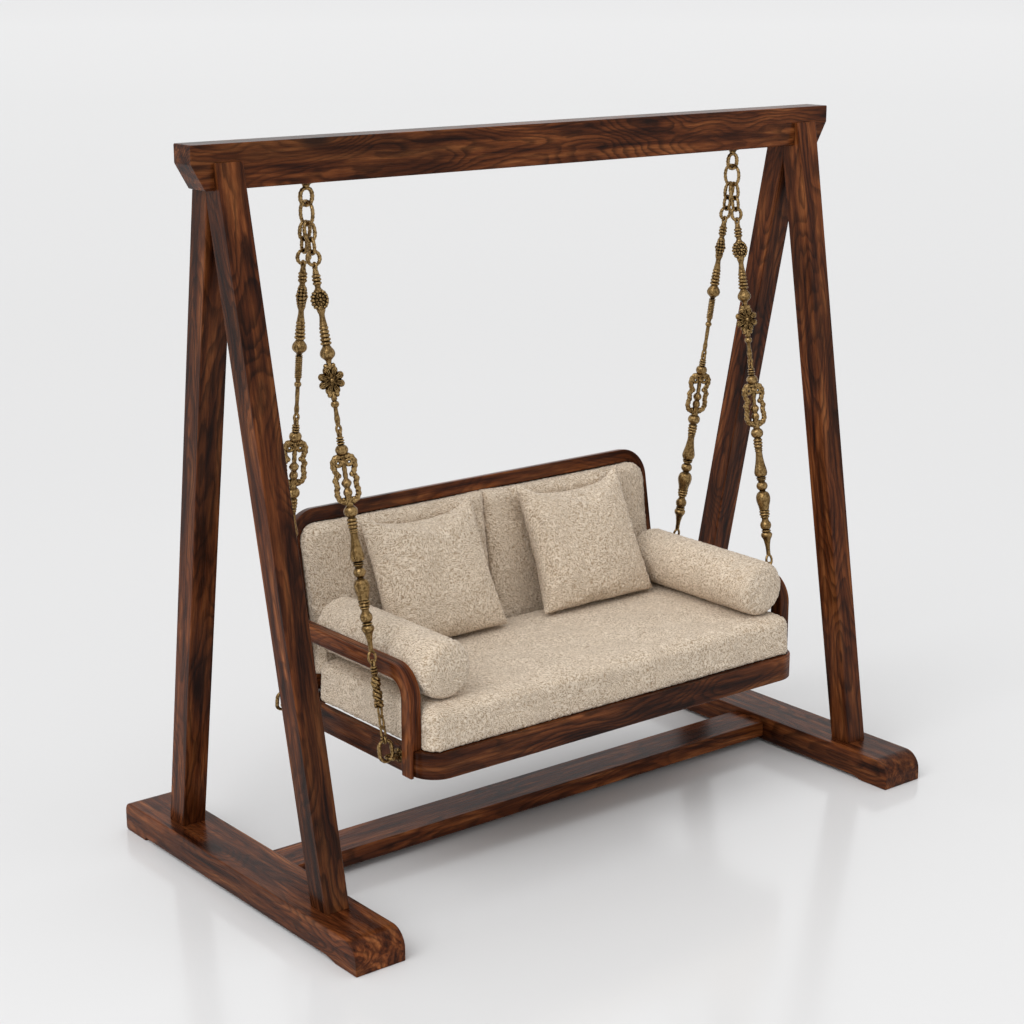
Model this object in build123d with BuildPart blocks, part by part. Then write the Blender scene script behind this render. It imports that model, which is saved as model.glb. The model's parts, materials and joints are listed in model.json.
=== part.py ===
from build123d import *
import os
from math import cos, pi, radians, sin, sqrt

# Jhoola swing: a two-seat bench hung on cast brass chains from a wooden A-frame stand.
# Millimetres, +Z up. X runs along the top beam, the bench faces -Y.
# The origin is on the floor, under the middle of the beam.

# ---- stand: top beam ----
stand_height = 1900
beam_length = 2100
beam_height = 107
beam_depth = 80
beam_end_face = 45  # upright part of each end, above the chamfer
beam_end_run = 36  # how far the chamfer runs in along the underside
edge_break = 2

# ---- stand: A-frame legs, each side leaning slightly in towards the floor ----
leg_depth = 71
leg_top_width = 75
leg_foot_width = 68
leg_top_x = 955
leg_foot_x = 918
leg_foot_y = 378  # outer face of a leg where it meets the foot
leg_housing_cheek = 12  # how far a leg stands proud of the beam at its top
leg_top_drop = 43  # leg top below the top of the beam
tenon_width = 40
tenon_length = 45

# ---- stand: sled feet and stretcher ----
foot_length = 1114
foot_width = 143
foot_height = 81
foot_front_radius = 50
foot_rear_radius = 25
foot_heel_radius = 12
front_pad_length = 90
rear_pad_length = 106
pad_blend = 40
pad_depth = 8
stretcher_width = 124
stretcher_thickness = 46
stretcher_drop = 16  # stretcher top below the top of the feet
stretcher_tenon = 30
stretcher_tenon_width = 90
stretcher_tenon_thickness = 26

# ---- stand: hidden joinery and hanger hardware ----
spline_width = 40  # loose tenon between leg cheek and beam
spline_thickness = 10
spline_in_cheek = 10
spline_in_beam = 26
spline_drop = 32  # below the top of the leg
hanger_x = 714  # each hanger from the middle of the beam
shank_width = 12  # across the flats of the eight-sided shank
shank_clearance = 0.5
pocket_length = 60  # pocket in the beam's top for plate and nut
pocket_width = 36
patch_thickness = 12  # wooden patch let in over the nut
plate_thickness = 4
nut_across = 19
nut_thickness = 10
shank_end = 2

# ---- brass hanger eye and carrying ring ----
contact_gap = 0.3
octagon = 0.9  # across the flats of cast wire, as a share of its round size
casting_sides = 6
rose_sides = 8
ring_sides = 8
rose_diameter = 40
rose_thickness = 5
rose_neck = 18
eye_wire = 10
eye_width = 32  # between wire centres
eye_height = 41
eye_corner = 10
eye_drop = 56  # bar of the eye below the beam
ring_wire = 8.5
ring_width = 54
ring_height = 57.5
ring_corner = 15

# ---- brass chains, stations run down the chain from the bar of the carrying ring ----
chain_spread = 8  # front and rear chain from the middle of the ring's bar
link_wire = 7.5
first_link_width = 27
first_link_height = 46.5
second_link_width = 20
second_link_height = 39.5
link_corner = 9
round_link_diameter = 35.5  # between wire centres
cast_eye_outer = 8.5
cast_eye_inner = 4.3
cast_eye_thickness = 5.5
rod_stem = 5
rod_length = 404  # between its two eyes
bud_station = 181
bud_size = 24
bud_depth = 13
rosette_station = 378
petal_circle = 25
petal_size = 11.5
rosette_depth = 7
baluster_stem = 6
baluster_length = 570
scroll_start = 563
scroll_length = 116
scroll_reach = 36  # middle of the side bars from the middle of the casting
scroll_wire = 8
scroll_depth = 5
drop_stem = 4.5
drop_plate_width = 15
drop_plate_start = 1194
drop_hole = 4
hook_ring_width = 38  # between wire centres
hook_ring_height = 54
hook_ring_corner = 14
hook_ring_wire = 7.5

# ---- bench: seat frame ----
rail_underside = 346
rail_height = 68
side_rail_thickness = 24
bench_half_width = 652  # outer faces of the side rails
bench_front = -390
bench_rear = 276
front_corner_radius = 72
front_rail_thickness = 30
rear_rail_thickness = 22
batten_height = 24
batten_thickness = 25
slat_thickness = 14
slat_width = 70
slat_count = 11
slat_side_gap = 2
slat_end_gap = 6
rail_tenon_thickness = 10
rail_tenon_length = 22
rail_tenon_height = 40
rail_tenon_inset = 15  # middle of the tenon behind the outer face
rear_tenon_length = 12

# ---- bench: arms ----
arm_width = 34
arm_thickness = 41
arm_top = 628
arm_stand_out = 10  # arm and post stand out past the side rail
arm_post_front = -330
arm_bend_radius = 84
arm_rear = 238
post_toe = 4  # post runs on below the rail

# ---- bench: backrest ----
back_recline = 9.65  # degrees
back_top = 900
back_front_at_top = 259  # Y of the frame's front face at its top edge
back_frame_thickness = 30
back_top_rail = 38
back_stile = 28
back_corner_radius = 85
cross_rail_height = 40
cross_rail_station = 80
panel_thickness = 6
panel_rebate = 22  # panel behind the front face of the frame
panel_lap = 8
back_inner_radius = 48

# ---- bench: eyes that the chains hook to ----
seat_eye_front = -264
seat_eye_rear = 215
seat_eye_height = 386
seat_eye_reach = 36  # bar of the eye outside the side rail
seat_eye_wire = 7.5
seat_eye_gap = 24  # between the two legs of the eye
seat_eye_corner = 7
seat_rosette_diameter = 38
seat_rosette_thickness = 6
seat_shank_width = 8
seat_nut_across = 16
seat_nut_thickness = 7

# ---- upholstery ----
cloth_gap = 0.5
cushion_thickness = 114
cushion_ledge = 12  # seat rail showing in front of the cushion
cushion_corner = 46
cushion_edge = 16
cushion_side_gap = 2
cushion_rear = 144
back_pad_depth = 35  # pad in front of the backrest frame
back_pad_edge = 12
bolster_diameter = 148
bolster_front = -345
bolster_rear = 158
bolster_edge = 14
pillow_width = 415
pillow_height = 385
pillow_thickness = 124
pillow_rim = 26
pillow_corner = 30
pillow_crown = 120  # how far in from its rim a pillow reaches full thickness
pillow_lean = 24  # degrees
pillow_x = 268
pillow_y = 112

# ---- places worked out from the sizes above ----
beam_underside = stand_height - beam_height
leg_top = stand_height - leg_top_drop
leg_top_y = beam_depth / 2 + leg_housing_cheek
stretcher_top = foot_height - stretcher_drop
spline_length = spline_in_cheek + spline_in_beam
spline_y = beam_depth / 2 + (spline_in_cheek - spline_in_beam) / 2
spline_places = [
    (side * leg_top_x, end * spline_y, leg_top - spline_drop) for side in (-1, 1) for end in (-1, 1)
]
pocket_depth = patch_thickness + 2 * shank_end + nut_thickness + plate_thickness
pocket_floor = stand_height - pocket_depth
shank_top = pocket_floor + plate_thickness + nut_thickness + shank_end
hanger_places = [(-hanger_x, 0), (hanger_x, 0)]
eye_bar = beam_underside - eye_drop
ring_bar = eye_bar + (eye_wire + ring_wire) / 2 + contact_gap - ring_height
rail_top = rail_underside + rail_height
rail_middle = rail_underside + rail_height / 2
bench_inner = bench_half_width - side_rail_thickness
side_rail_front = bench_front + front_corner_radius
rail_tenon_x = bench_half_width - rail_tenon_inset
back_inner = bench_inner - back_stile
arm_outer = bench_half_width + arm_stand_out
arm_inner = arm_outer - arm_width
seat_eye_x = bench_half_width + seat_eye_reach
cushion_top = rail_top + cloth_gap + cushion_thickness
bolster_x = arm_inner - cushion_side_gap / 2 - bolster_diameter / 2
back_pad_bottom = cross_rail_station + cross_rail_height + cloth_gap
back_length = (back_top - rail_underside) / cos(radians(back_recline))
back_foot_y = back_front_at_top - back_length * sin(radians(back_recline))

os.makedirs("parts", exist_ok=True)


def save(build, name):
    build.part.label = name
    export_step(build.part, f"parts/{name}.step")


def side_name(side):
    return "left" if side < 0 else "right"


def end_name(end):
    return "front" if end < 0 else "rear"


# ======================================================================
# Stand
# ======================================================================
with BuildPart() as top_beam:
    with BuildSketch(Plane.XZ):
        with BuildLine():
            half = beam_length / 2
            shoulder = stand_height - beam_end_face
            Polyline(
                (-half, stand_height),
                (half, stand_height),
                (half, shoulder),
                (half - beam_end_run, beam_underside),
                (beam_end_run - half, beam_underside),
                (-half, shoulder),
                close=True,
            )
        make_face()
    extrude(amount=beam_depth / 2, both=True)
    chamfer(top_beam.edges(), edge_break)
    # pocket and bore for each hanger shank
    with BuildSketch(Plane.XY.offset(stand_height)):
        with Locations(*hanger_places):
            Rectangle(pocket_length, pocket_width)
    extrude(amount=-pocket_depth, mode=Mode.SUBTRACT)
    with BuildSketch(Plane.XY.offset(stand_height)):
        with Locations(*hanger_places):
            RegularPolygon(shank_width / 2 + shank_clearance, 8, major_radius=False)
    extrude(amount=-beam_height, mode=Mode.SUBTRACT)
    # mortises for the loose tenons that hold the legs
    with Locations(*spline_places):
        Box(spline_width, spline_length, spline_thickness, mode=Mode.SUBTRACT)
save(top_beam, "top_beam")


def leg(side, end):
    """One leg: tapered, housed over the beam at its top and tenoned into the foot."""
    with BuildPart() as piece:
        with BuildSketch(Plane.XY.offset(foot_height)) as low:
            with Locations((side * leg_foot_x, end * (leg_foot_y - leg_depth / 2))):
                Rectangle(leg_foot_width, leg_depth)
            chamfer(low.vertices(), edge_break)
        with BuildSketch(Plane.XY.offset(leg_top)) as high:
            with Locations((side * leg_top_x, end * (leg_top_y - leg_depth / 2))):
                Rectangle(leg_top_width, leg_depth)
            chamfer(high.vertices(), edge_break)
        loft(ruled=True)
        # the pair meets on the middle plane, under the beam
        with Locations((side * leg_top_x, -end * leg_depth, leg_top)):
            Box(2 * leg_top_width, 2 * leg_depth, stand_height, mode=Mode.SUBTRACT)
        # housing for the beam
        with Locations((side * leg_top_x, 0, beam_underside)):
            Box(
                2 * leg_top_width,
                beam_depth,
                beam_height,
                align=(Align.CENTER, Align.CENTER, Align.MIN),
                mode=Mode.SUBTRACT,
            )
        with Locations(*spline_places):
            Box(spline_width, spline_length, spline_thickness, mode=Mode.SUBTRACT)
        # tenon
        with Locations((side * leg_foot_x, end * (leg_foot_y - leg_depth / 2), foot_height)):
            Box(tenon_width, tenon_width, tenon_length,
                align=(Align.CENTER, Align.CENTER, Align.MAX))
    return piece


for side in (-1, 1):
    for end in (-1, 1):
        save(leg(side, end), f"{side_name(side)}_{end_name(end)}_leg")


def foot(side):
    """Sled foot: toe rounded at the front, heel eased, hollowed between its two pads."""
    toe = -foot_length / 2
    heel = foot_length / 2
    with BuildPart() as piece:
        with BuildSketch(Plane.YZ.offset(side * leg_foot_x - foot_width / 2)):
            with BuildLine():
                Line((toe, 0), (toe, foot_height - foot_front_radius))
                RadiusArc(
                    (toe, foot_height - foot_front_radius),
                    (toe + foot_front_radius, foot_height),
                    foot_front_radius,
                )
                Line((toe + foot_front_radius, foot_height), (heel - foot_rear_radius, foot_height))
                RadiusArc(
                    (heel - foot_rear_radius, foot_height),
                    (heel, foot_height - foot_rear_radius),
                    foot_rear_radius,
                )
                Line((heel, foot_height - foot_rear_radius), (heel, foot_heel_radius))
                RadiusArc((heel, foot_heel_radius), (heel - foot_heel_radius, 0), foot_heel_radius)
                pad_start = heel - rear_pad_length
                blend_end = toe + front_pad_length + pad_blend
                Polyline((heel - foot_heel_radius, 0), (pad_start, 0), (pad_start, pad_depth),
                         (blend_end, pad_depth))
                Line((blend_end, pad_depth), (toe + front_pad_length, 0))
                Line((toe + front_pad_length, 0), (toe, 0))
            make_face()
        extrude(amount=foot_width)
        # mortises for both legs
        with Locations(
            (side * leg_foot_x, leg_depth / 2 - leg_foot_y, foot_height),
            (side * leg_foot_x, leg_foot_y - leg_depth / 2, foot_height),
        ):
            Box(tenon_width, tenon_width, tenon_length,
                align=(Align.CENTER, Align.CENTER, Align.MAX), mode=Mode.SUBTRACT)
        # mortise for the stretcher
        with Locations((side * (leg_foot_x - foot_width / 2), 0, stretcher_top - stretcher_thickness / 2)):
            Box(2 * stretcher_tenon, stretcher_tenon_width, stretcher_tenon_thickness,
                mode=Mode.SUBTRACT)
    return piece


for side in (-1, 1):
    save(foot(side), f"{side_name(side)}_foot")

with BuildPart() as stretcher:
    span = 2 * leg_foot_x - foot_width
    with Locations((0, 0, stretcher_top - stretcher_thickness / 2)):
        Box(span, stretcher_width, stretcher_thickness)
    chamfer(stretcher.edges().filter_by(Axis.X), edge_break)
    with Locations((0, 0, stretcher_top - stretcher_thickness / 2)):
        Box(span + 2 * stretcher_tenon, stretcher_tenon_width, stretcher_tenon_thickness)
save(stretcher, "stretcher")

with BuildPart() as leg_splines:
    with Locations(*spline_places):
        Box(spline_width, spline_length, spline_thickness)
save(leg_splines, "leg_splines")

# plate, nut and patch stacked in each pocket
with BuildPart() as hanger_plates:
    with BuildSketch(Plane.XY.offset(pocket_floor)):
        with Locations(*hanger_places):
            Rectangle(pocket_length - 2 * shank_clearance, pocket_width - 2 * shank_clearance)
            RegularPolygon(shank_width / 2 + shank_clearance, 8, major_radius=False, mode=Mode.SUBTRACT)
    extrude(amount=plate_thickness)
save(hanger_plates, "hanger_plates")

with BuildPart() as hanger_nuts:
    with BuildSketch(Plane.XY.offset(pocket_floor + plate_thickness)):
        with Locations(*hanger_places):
            RegularPolygon(nut_across / 2, 6, major_radius=False)
            RegularPolygon(shank_width / 2, 8, major_radius=False, mode=Mode.SUBTRACT)
    extrude(amount=nut_thickness)
save(hanger_nuts, "hanger_nuts")

with BuildPart() as beam_patches:
    with BuildSketch(Plane.XY.offset(stand_height)):
        with Locations(*hanger_places):
            Rectangle(pocket_length, pocket_width)
    extrude(amount=-patch_thickness)
save(beam_patches, "beam_patches")


# ======================================================================
# Brass castings: eight-sided wire and faceted turnings
# ======================================================================
def loop_points(width, height, corner, chords):
    """Outline of a rounded loop hanging from (0, 0), each bend drawn as short chords."""
    points = []
    for across, along, start in ((1, 1, 0), (-1, 1, 90), (-1, -1, 180), (1, -1, 270)):
        for step in range(chords + 1):
            turn = radians(start + 90 * step / chords)
            points.append((
                across * (width / 2 - corner) + corner * cos(turn),
                along * (height / 2 - corner) + corner * sin(turn),
            ))
    return points


def along(plane, station):
    """The same plane moved down its Y axis."""
    return Plane(plane.origin + plane.y_dir * station, x_dir=plane.x_dir, z_dir=plane.z_dir)


def cast_loop(plane, start, width, height, corner, wire, chords=1):
    """Closed loop of wire: its first bar crosses the plane's Y axis at start."""
    half = octagon * wire / 2
    with BuildPart() as piece:
        with BuildSketch(along(plane, start + height / 2)):
            with BuildLine():
                Polyline(*loop_points(width + 2 * half, height + 2 * half, corner + half, chords), close=True)
            make_face()
            with BuildLine():
                Polyline(*loop_points(width - 2 * half, height - 2 * half, corner - half, chords), close=True)
            make_face(mode=Mode.SUBTRACT)
        extrude(amount=half, both=True)
        chamfer(piece.faces().filter_by(plane).edges(), 2 * half / (2 + sqrt(2)))
    return piece


def cast_ring(plane, start, diameter, wire):
    """Round ring of wire: its top crosses the plane's Y axis at start."""
    half = octagon * wire / 2
    with BuildPart() as piece:
        with BuildSketch(along(plane, start + diameter / 2)):
            RegularPolygon(diameter / 2 + half, ring_sides, major_radius=False, rotation=180 / ring_sides)
            RegularPolygon(diameter / 2 - half, ring_sides, major_radius=False,
                           rotation=180 / ring_sides, mode=Mode.SUBTRACT)
        extrude(amount=half, both=True)
        chamfer(piece.faces().filter_by(plane).edges(), 2 * half / (2 + sqrt(2)))
    return piece


def cast_eye(plane, station):
    """Small flat eye at the end of a casting."""
    with BuildPart() as piece:
        with BuildSketch(along(plane, station)):
            RegularPolygon(cast_eye_outer, 8, major_radius=False)
            RegularPolygon(cast_eye_inner, 8, major_radius=False, mode=Mode.SUBTRACT)
        extrude(amount=cast_eye_thickness / 2, both=True)
    return piece


def turned(plane, profile, sides=casting_sides):
    """Faceted turning about the plane's Y axis, through (radius, station) pairs."""
    reach = 2 * max(radius for radius, station in profile)
    with BuildPart() as piece:
        for turn in range(sides // 2):
            x_dir = plane.x_dir.rotate(Axis(plane.origin, plane.y_dir), 360 / sides * turn)
            with BuildSketch(Plane(plane.origin, x_dir=x_dir, z_dir=x_dir.cross(plane.y_dir))):
                with BuildLine():
                    Polyline((0, profile[0][1]), *profile, (0, profile[-1][1]), close=True)
                make_face()
                mirror(about=Plane.YZ)
            extrude(amount=reach, both=True, mode=Mode.INTERSECT if turn else Mode.ADD)
    return piece


def ball(radius, station, neck):
    """Profile of a ball between two necks."""
    half = sqrt(radius**2 - neck**2)
    flat = 0.4 * radius
    return [
        (neck, station - half),
        (radius, station - flat),
        (radius, station + flat),
        (neck, station + half),
    ]


def ribs(radius, first, last, count, neck):
    """Profile of sharp ribs side by side."""
    pitch = (last - first) / count
    points = [(neck, first)]
    for rib in range(count):
        points += [(radius, first + (rib + 0.5) * pitch), (neck, first + (rib + 1) * pitch)]
    return points


# ---- hanger eyes, carrying rings ----
with BuildPart() as hanger_eyes:
    for side in (-1, 1):
        under_beam = Plane((side * hanger_x, 0, beam_underside), x_dir=(1, 0, 0), z_dir=(0, 1, 0))
        loop_start = eye_drop - eye_height
        rose = [
            (rose_diameter / 2 - 2, 0),
            (rose_diameter / 2, rose_thickness / 2),
            (rose_neck / 2, rose_thickness),
            (eye_wire / 2, loop_start),
        ]
        add(turned(under_beam, rose, rose_sides).part)
        add(cast_loop(under_beam, loop_start, eye_width, eye_height, eye_corner, eye_wire, 2).part)
        with Locations(Location((side * hanger_x, 0, eye_bar), (0, 90, 0))):
            Cylinder(eye_wire / 2, eye_width - 2 * eye_corner)
    with BuildSketch(Plane.XY.offset(beam_underside - rose_thickness / 2)):
        with Locations(*hanger_places):
            RegularPolygon(shank_width / 2, 8, major_radius=False)
    extrude(amount=shank_top - beam_underside + rose_thickness / 2)
save(hanger_eyes, "hanger_eyes")


def carrying_ring(side):
    """Ring that swings on the hanger eye and carries both chains of one side."""
    top = ring_bar + ring_height
    plane = Plane((side * hanger_x, 0, top), x_dir=(0, -1, 0), z_dir=(1, 0, 0))
    with BuildPart() as piece:
        add(cast_loop(plane, 0, ring_width, ring_height, ring_corner, ring_wire, 2).part)
        with Locations(Location((side * hanger_x, 0, ring_bar), (90, 0, 0))):
            Cylinder(ring_wire / 2, ring_width - 2 * ring_corner)
    return piece


for side in (-1, 1):
    save(carrying_ring(side), f"{side_name(side)}_carrying_ring")


# ---- the four chains ----
def chain_planes(side, end):
    """The chain's face plane and flank plane, Y down the chain, and its length between bars."""
    start = Vector(side * hanger_x, end * chain_spread, ring_bar)
    finish = Vector(side * seat_eye_x, seat_eye_front if end < 0 else seat_eye_rear, seat_eye_height)
    down = (finish - start).normalized()
    across = (Vector(1, 0, 0) - down * down.X).normalized()
    through = across.cross(down)
    face = Plane(start, x_dir=across, z_dir=through)
    flank = Plane(start, x_dir=down.cross(across), z_dir=across)
    return face, flank, (finish - start).length, sqrt(1 - down.Y**2)


link_pitch = link_wire + contact_gap
eye_pitch = 2 * (cast_eye_inner * sqrt(2) - cast_eye_thickness / 2) - contact_gap


def chain_links(side, end):
    """Two long links and a round one, each hooked through the last."""
    face, flank, length, lean = chain_planes(side, end)
    first = -((ring_wire + link_wire) / 2 + contact_gap) / lean
    second = first + first_link_height - link_pitch
    third = second + second_link_height - link_pitch
    with BuildPart() as piece:
        add(cast_loop(face, first, first_link_width, first_link_height, link_corner, link_wire).part)
        add(cast_loop(flank, second, second_link_width, second_link_height, link_corner, link_wire).part)
        add(cast_ring(face, third, round_link_diameter, link_wire).part)
    return piece, third + round_link_diameter - (link_wire / 2 + contact_gap) + cast_eye_inner


def rosette_rod(side, end, start):
    """Upper casting: studded bud, ribs and pear; the front one also carries the flower."""
    face, flank, length, lean = chain_planes(side, end)
    finish = start + rod_length
    stem = rod_stem
    profile = [
        (stem, start + cast_eye_inner),
        *ribs(8.5, 119, 145, 2, stem + 1),
        (9, bud_station - bud_size),
        (9, bud_station + bud_size),
        (stem + 1, bud_station + bud_size + 8),
        (stem + 1, 240),
        *ribs(11, 247, 290, 3, 8),
        (12, 296),
        (16.5, 306),
        (16.5, 316),
        (stem + 1, 326),
    ]
    if end < 0:
        profile += [(9, rosette_station - petal_circle), (9, rosette_station + petal_circle)]
        profile += [(stem, 426), *ball(9, 437, stem), (stem - 1, 460)]
    else:
        profile += [(8.5, 334), (8.5, 392), (stem, 400), *ball(8, 412, stem), (stem, 440)]
    profile += [(stem, finish - cast_eye_inner)]
    with BuildPart() as piece:
        add(turned(face, profile).part)
        add(cast_eye(flank, start).part)
        add(cast_eye(face, finish).part)
        with BuildSketch(along(face, bud_station)):
            RegularPolygon(bud_size, 8, major_radius=False)
        extrude(amount=bud_depth, both=True)
        if end < 0:
            with BuildSketch(along(face, rosette_station)):
                RegularPolygon(petal_circle, 8, major_radius=False)
                with PolarLocations(petal_circle, 8):
                    RegularPolygon(petal_size, 6)
            extrude(amount=rosette_depth, both=True)
            with BuildSketch(along(face, rosette_station)):
                RegularPolygon(petal_size, 8)
            extrude(amount=rosette_depth + 4, both=True)
    return piece, finish


def scroll_baluster(side, end, start):
    """Middle casting: open scroll between two balls, then a teardrop and a row of beads."""
    face, flank, length, lean = chain_planes(side, end)
    finish = start + baluster_length
    stem = baluster_stem
    scroll_end = scroll_start + scroll_length
    profile = [
        (stem - 1, start + cast_eye_inner),
        *ribs(8.5, 517, 535, 2, stem),
        *ball(14, 550, stem + 2),
        (stem + 2, scroll_start + 45),
        *ball(12, scroll_start + 66, stem),
        (13, scroll_start + 92),
        (10, scroll_end),
        *ball(15.5, 703, stem + 2),
        *ribs(11.5, 722, 752, 2, 8.5),
        (9, 768),
        (16.5, 812),
        (16.5, 820),
        (8, 830),
        *ball(14, 856, 8),
        *ball(18, 892, 10),
        (13, 920),
        (12, 940),
        (9, 948),
        *ball(14, 968, 9),
        (14, 992),
        (13, 1002),
        (stem, 1024),
        (stem - 1, finish - cast_eye_inner),
    ]
    with BuildPart() as piece:
        add(turned(face, profile).part)
        add(cast_eye(flank, start).part)
        add(cast_eye(face, finish).part)
        with BuildSketch(face) as scroll:
            with BuildLine() as bar:
                Polyline(
                    (0, scroll_start),
                    (0.6 * scroll_reach, scroll_start + 6),
                    (scroll_reach, scroll_start + 22),
                    (scroll_reach, scroll_start + 44),
                    (0.8 * scroll_reach, scroll_start + 58),
                    (scroll_reach, scroll_start + 74),
                    (scroll_reach, scroll_end - 20),
                    (0.6 * scroll_reach, scroll_end - 4),
                    (0, scroll_end),
                )
            trace(lines=bar.line, line_width=scroll_wire)
            mirror(about=Plane.YZ)
        extrude(amount=scroll_depth, both=True)
    return piece, finish


def knot_drop(side, end, start):
    """Lower casting: ribs, two knots and a pierced plate, with an eye for the hook ring."""
    face, flank, length, lean = chain_planes(side, end)
    ring_top = length + ((hook_ring_wire + seat_eye_wire) / 2 + contact_gap) / lean - hook_ring_height
    finish = ring_top + hook_ring_wire / 2 + contact_gap - cast_eye_inner
    stem = drop_stem
    profile = [
        (stem, start + cast_eye_inner),
        *ribs(9.5, 1090, 1114, 2, stem + 1),
        *ball(10, 1138, 6),
        *ball(10, 1160, 6),
        *ball(10, 1182, 6),
        (6, drop_plate_start + 4),
    ]
    with BuildPart() as piece:
        add(turned(face, profile).part)
        add(cast_eye(flank, start).part)
        add(cast_eye(flank, finish).part)
        plate_length = finish - cast_eye_inner - drop_plate_start
        with BuildSketch(along(face, drop_plate_start + plate_length / 2)) as plate:
            Rectangle(drop_plate_width, plate_length)
            chamfer(plate.vertices(), drop_plate_width / 4)
            with GridLocations(0, plate_length / 4, 1, 3):
                RegularPolygon(drop_hole, 6, mode=Mode.SUBTRACT)
        extrude(amount=cast_eye_thickness / 2, both=True)
    return piece, ring_top


for side in (-1, 1):
    for end in (-1, 1):
        place = f"{side_name(side)}_{end_name(end)}"
        links, rod_start = chain_links(side, end)
        save(links, f"{place}_links")
        rod, rod_end = rosette_rod(side, end, rod_start)
        save(rod, f"{place}_rosette_rod")
        baluster, baluster_end = scroll_baluster(side, end, rod_end + eye_pitch)
        save(baluster, f"{place}_scroll_baluster")
        drop, ring_top = knot_drop(side, end, baluster_end + eye_pitch)
        save(drop, f"{place}_knot_drop")
        face, flank, length, lean = chain_planes(side, end)
        save(cast_loop(face, ring_top, hook_ring_width, hook_ring_height, hook_ring_corner, hook_ring_wire),
             f"{place}_hook_ring")


# ======================================================================
# Bench: seat frame
# ======================================================================
seat_eye_places = [(side, y) for side in (-1, 1) for y in (seat_eye_front, seat_eye_rear)]


def seat_eye_plane(side, y):
    """On the outer face of a side rail, Y pointing out from it."""
    return Plane((side * bench_half_width, y, seat_eye_height), x_dir=(0, 1, 0), z_dir=(0, 0, -side))


def shank_prism(side, y, size, first, last):
    """Eight-sided prism through a side rail, from first to last outwards of its outer face."""
    with BuildPart() as piece:
        with BuildSketch(Plane((side * (bench_half_width + first), y, seat_eye_height), z_dir=(side, 0, 0))):
            RegularPolygon(size / 2, 8, major_radius=False)
        extrude(amount=last - first)
    return piece


def side_rail(side):
    """Side rail with a tenon into the front corner, bored for its two eyes."""
    with BuildPart() as piece:
        with BuildSketch(Plane.XY.offset(rail_underside)):
            with Locations((side * (bench_inner + bench_half_width) / 2, (side_rail_front + bench_rear) / 2)):
                Rectangle(side_rail_thickness, bench_rear - side_rail_front)
        extrude(amount=rail_height)
        chamfer(piece.edges().filter_by(Axis.Y), edge_break)
        with Locations((side * rail_tenon_x, side_rail_front, rail_middle)):
            Box(rail_tenon_thickness, 2 * rail_tenon_length, rail_tenon_height)
        with Locations((side * bench_inner, bench_rear - rear_rail_thickness / 2, rail_middle)):
            Box(2 * rear_tenon_length, rail_tenon_thickness, rail_tenon_height, mode=Mode.SUBTRACT)
        for y in (seat_eye_front, seat_eye_rear):
            add(shank_prism(side, y, seat_shank_width + 2 * shank_clearance, -side_rail_thickness, 0).part,
                mode=Mode.SUBTRACT)
    return piece


for side in (-1, 1):
    save(side_rail(side), f"{side_name(side)}_side_rail")

with BuildPart() as front_rail:
    with BuildSketch(Plane.XY.offset(rail_underside)):
        with BuildLine() as outer:
            Line((0, bench_front), (bench_half_width - front_corner_radius, bench_front))
            RadiusArc(
                (bench_half_width - front_corner_radius, bench_front),
                (bench_half_width, side_rail_front),
                -front_corner_radius,
            )
            Line(
                (bench_half_width, side_rail_front),
                (bench_half_width - front_rail_thickness, side_rail_front),
            )
            RadiusArc(
                (bench_half_width - front_rail_thickness, side_rail_front),
                (bench_half_width - front_corner_radius, bench_front + front_rail_thickness),
                front_corner_radius - front_rail_thickness,
            )
            Line(
                (bench_half_width - front_corner_radius, bench_front + front_rail_thickness),
                (0, bench_front + front_rail_thickness),
            )
            mirror(about=Plane.YZ)
        make_face()
    extrude(amount=rail_height)
    for side in (-1, 1):
        with Locations((side * rail_tenon_x, side_rail_front, rail_middle)):
            Box(rail_tenon_thickness, 2 * rail_tenon_length, rail_tenon_height, mode=Mode.SUBTRACT)
save(front_rail, "front_rail")

with BuildPart() as rear_rail:
    with Locations((0, bench_rear - rear_rail_thickness / 2, rail_middle)):
        Box(2 * bench_inner, rear_rail_thickness, rail_height)
        chamfer(rear_rail.edges().filter_by(Axis.X), edge_break)
        Box(2 * (bench_inner + rear_tenon_length), rail_tenon_thickness, rail_tenon_height)
save(rear_rail, "rear_rail")

batten_length = 2 * (bench_half_width - front_corner_radius)
slat_underside = rail_top - slat_thickness
front_batten_y = bench_front + front_rail_thickness + batten_thickness / 2
rear_batten_y = bench_rear - rear_rail_thickness - batten_thickness / 2
with BuildPart() as slat_battens:
    with Locations(
        (0, front_batten_y, slat_underside - batten_height / 2),
        (0, rear_batten_y, slat_underside - batten_height / 2),
    ):
        Box(batten_length, batten_thickness, batten_height)
save(slat_battens, "slat_battens")

slat_pitch = (2 * (back_inner - slat_side_gap) - slat_width) / (slat_count - 1)
slat_front = bench_front + front_rail_thickness + slat_end_gap
slat_rear = bench_rear - rear_rail_thickness - slat_end_gap
with BuildPart() as seat_slats:
    with Locations((0, (slat_front + slat_rear) / 2, slat_underside + slat_thickness / 2)):
        with GridLocations(slat_pitch, 0, slat_count, 1):
            Box(slat_width, slat_rear - slat_front, slat_thickness)
save(seat_slats, "seat_slats")

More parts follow.
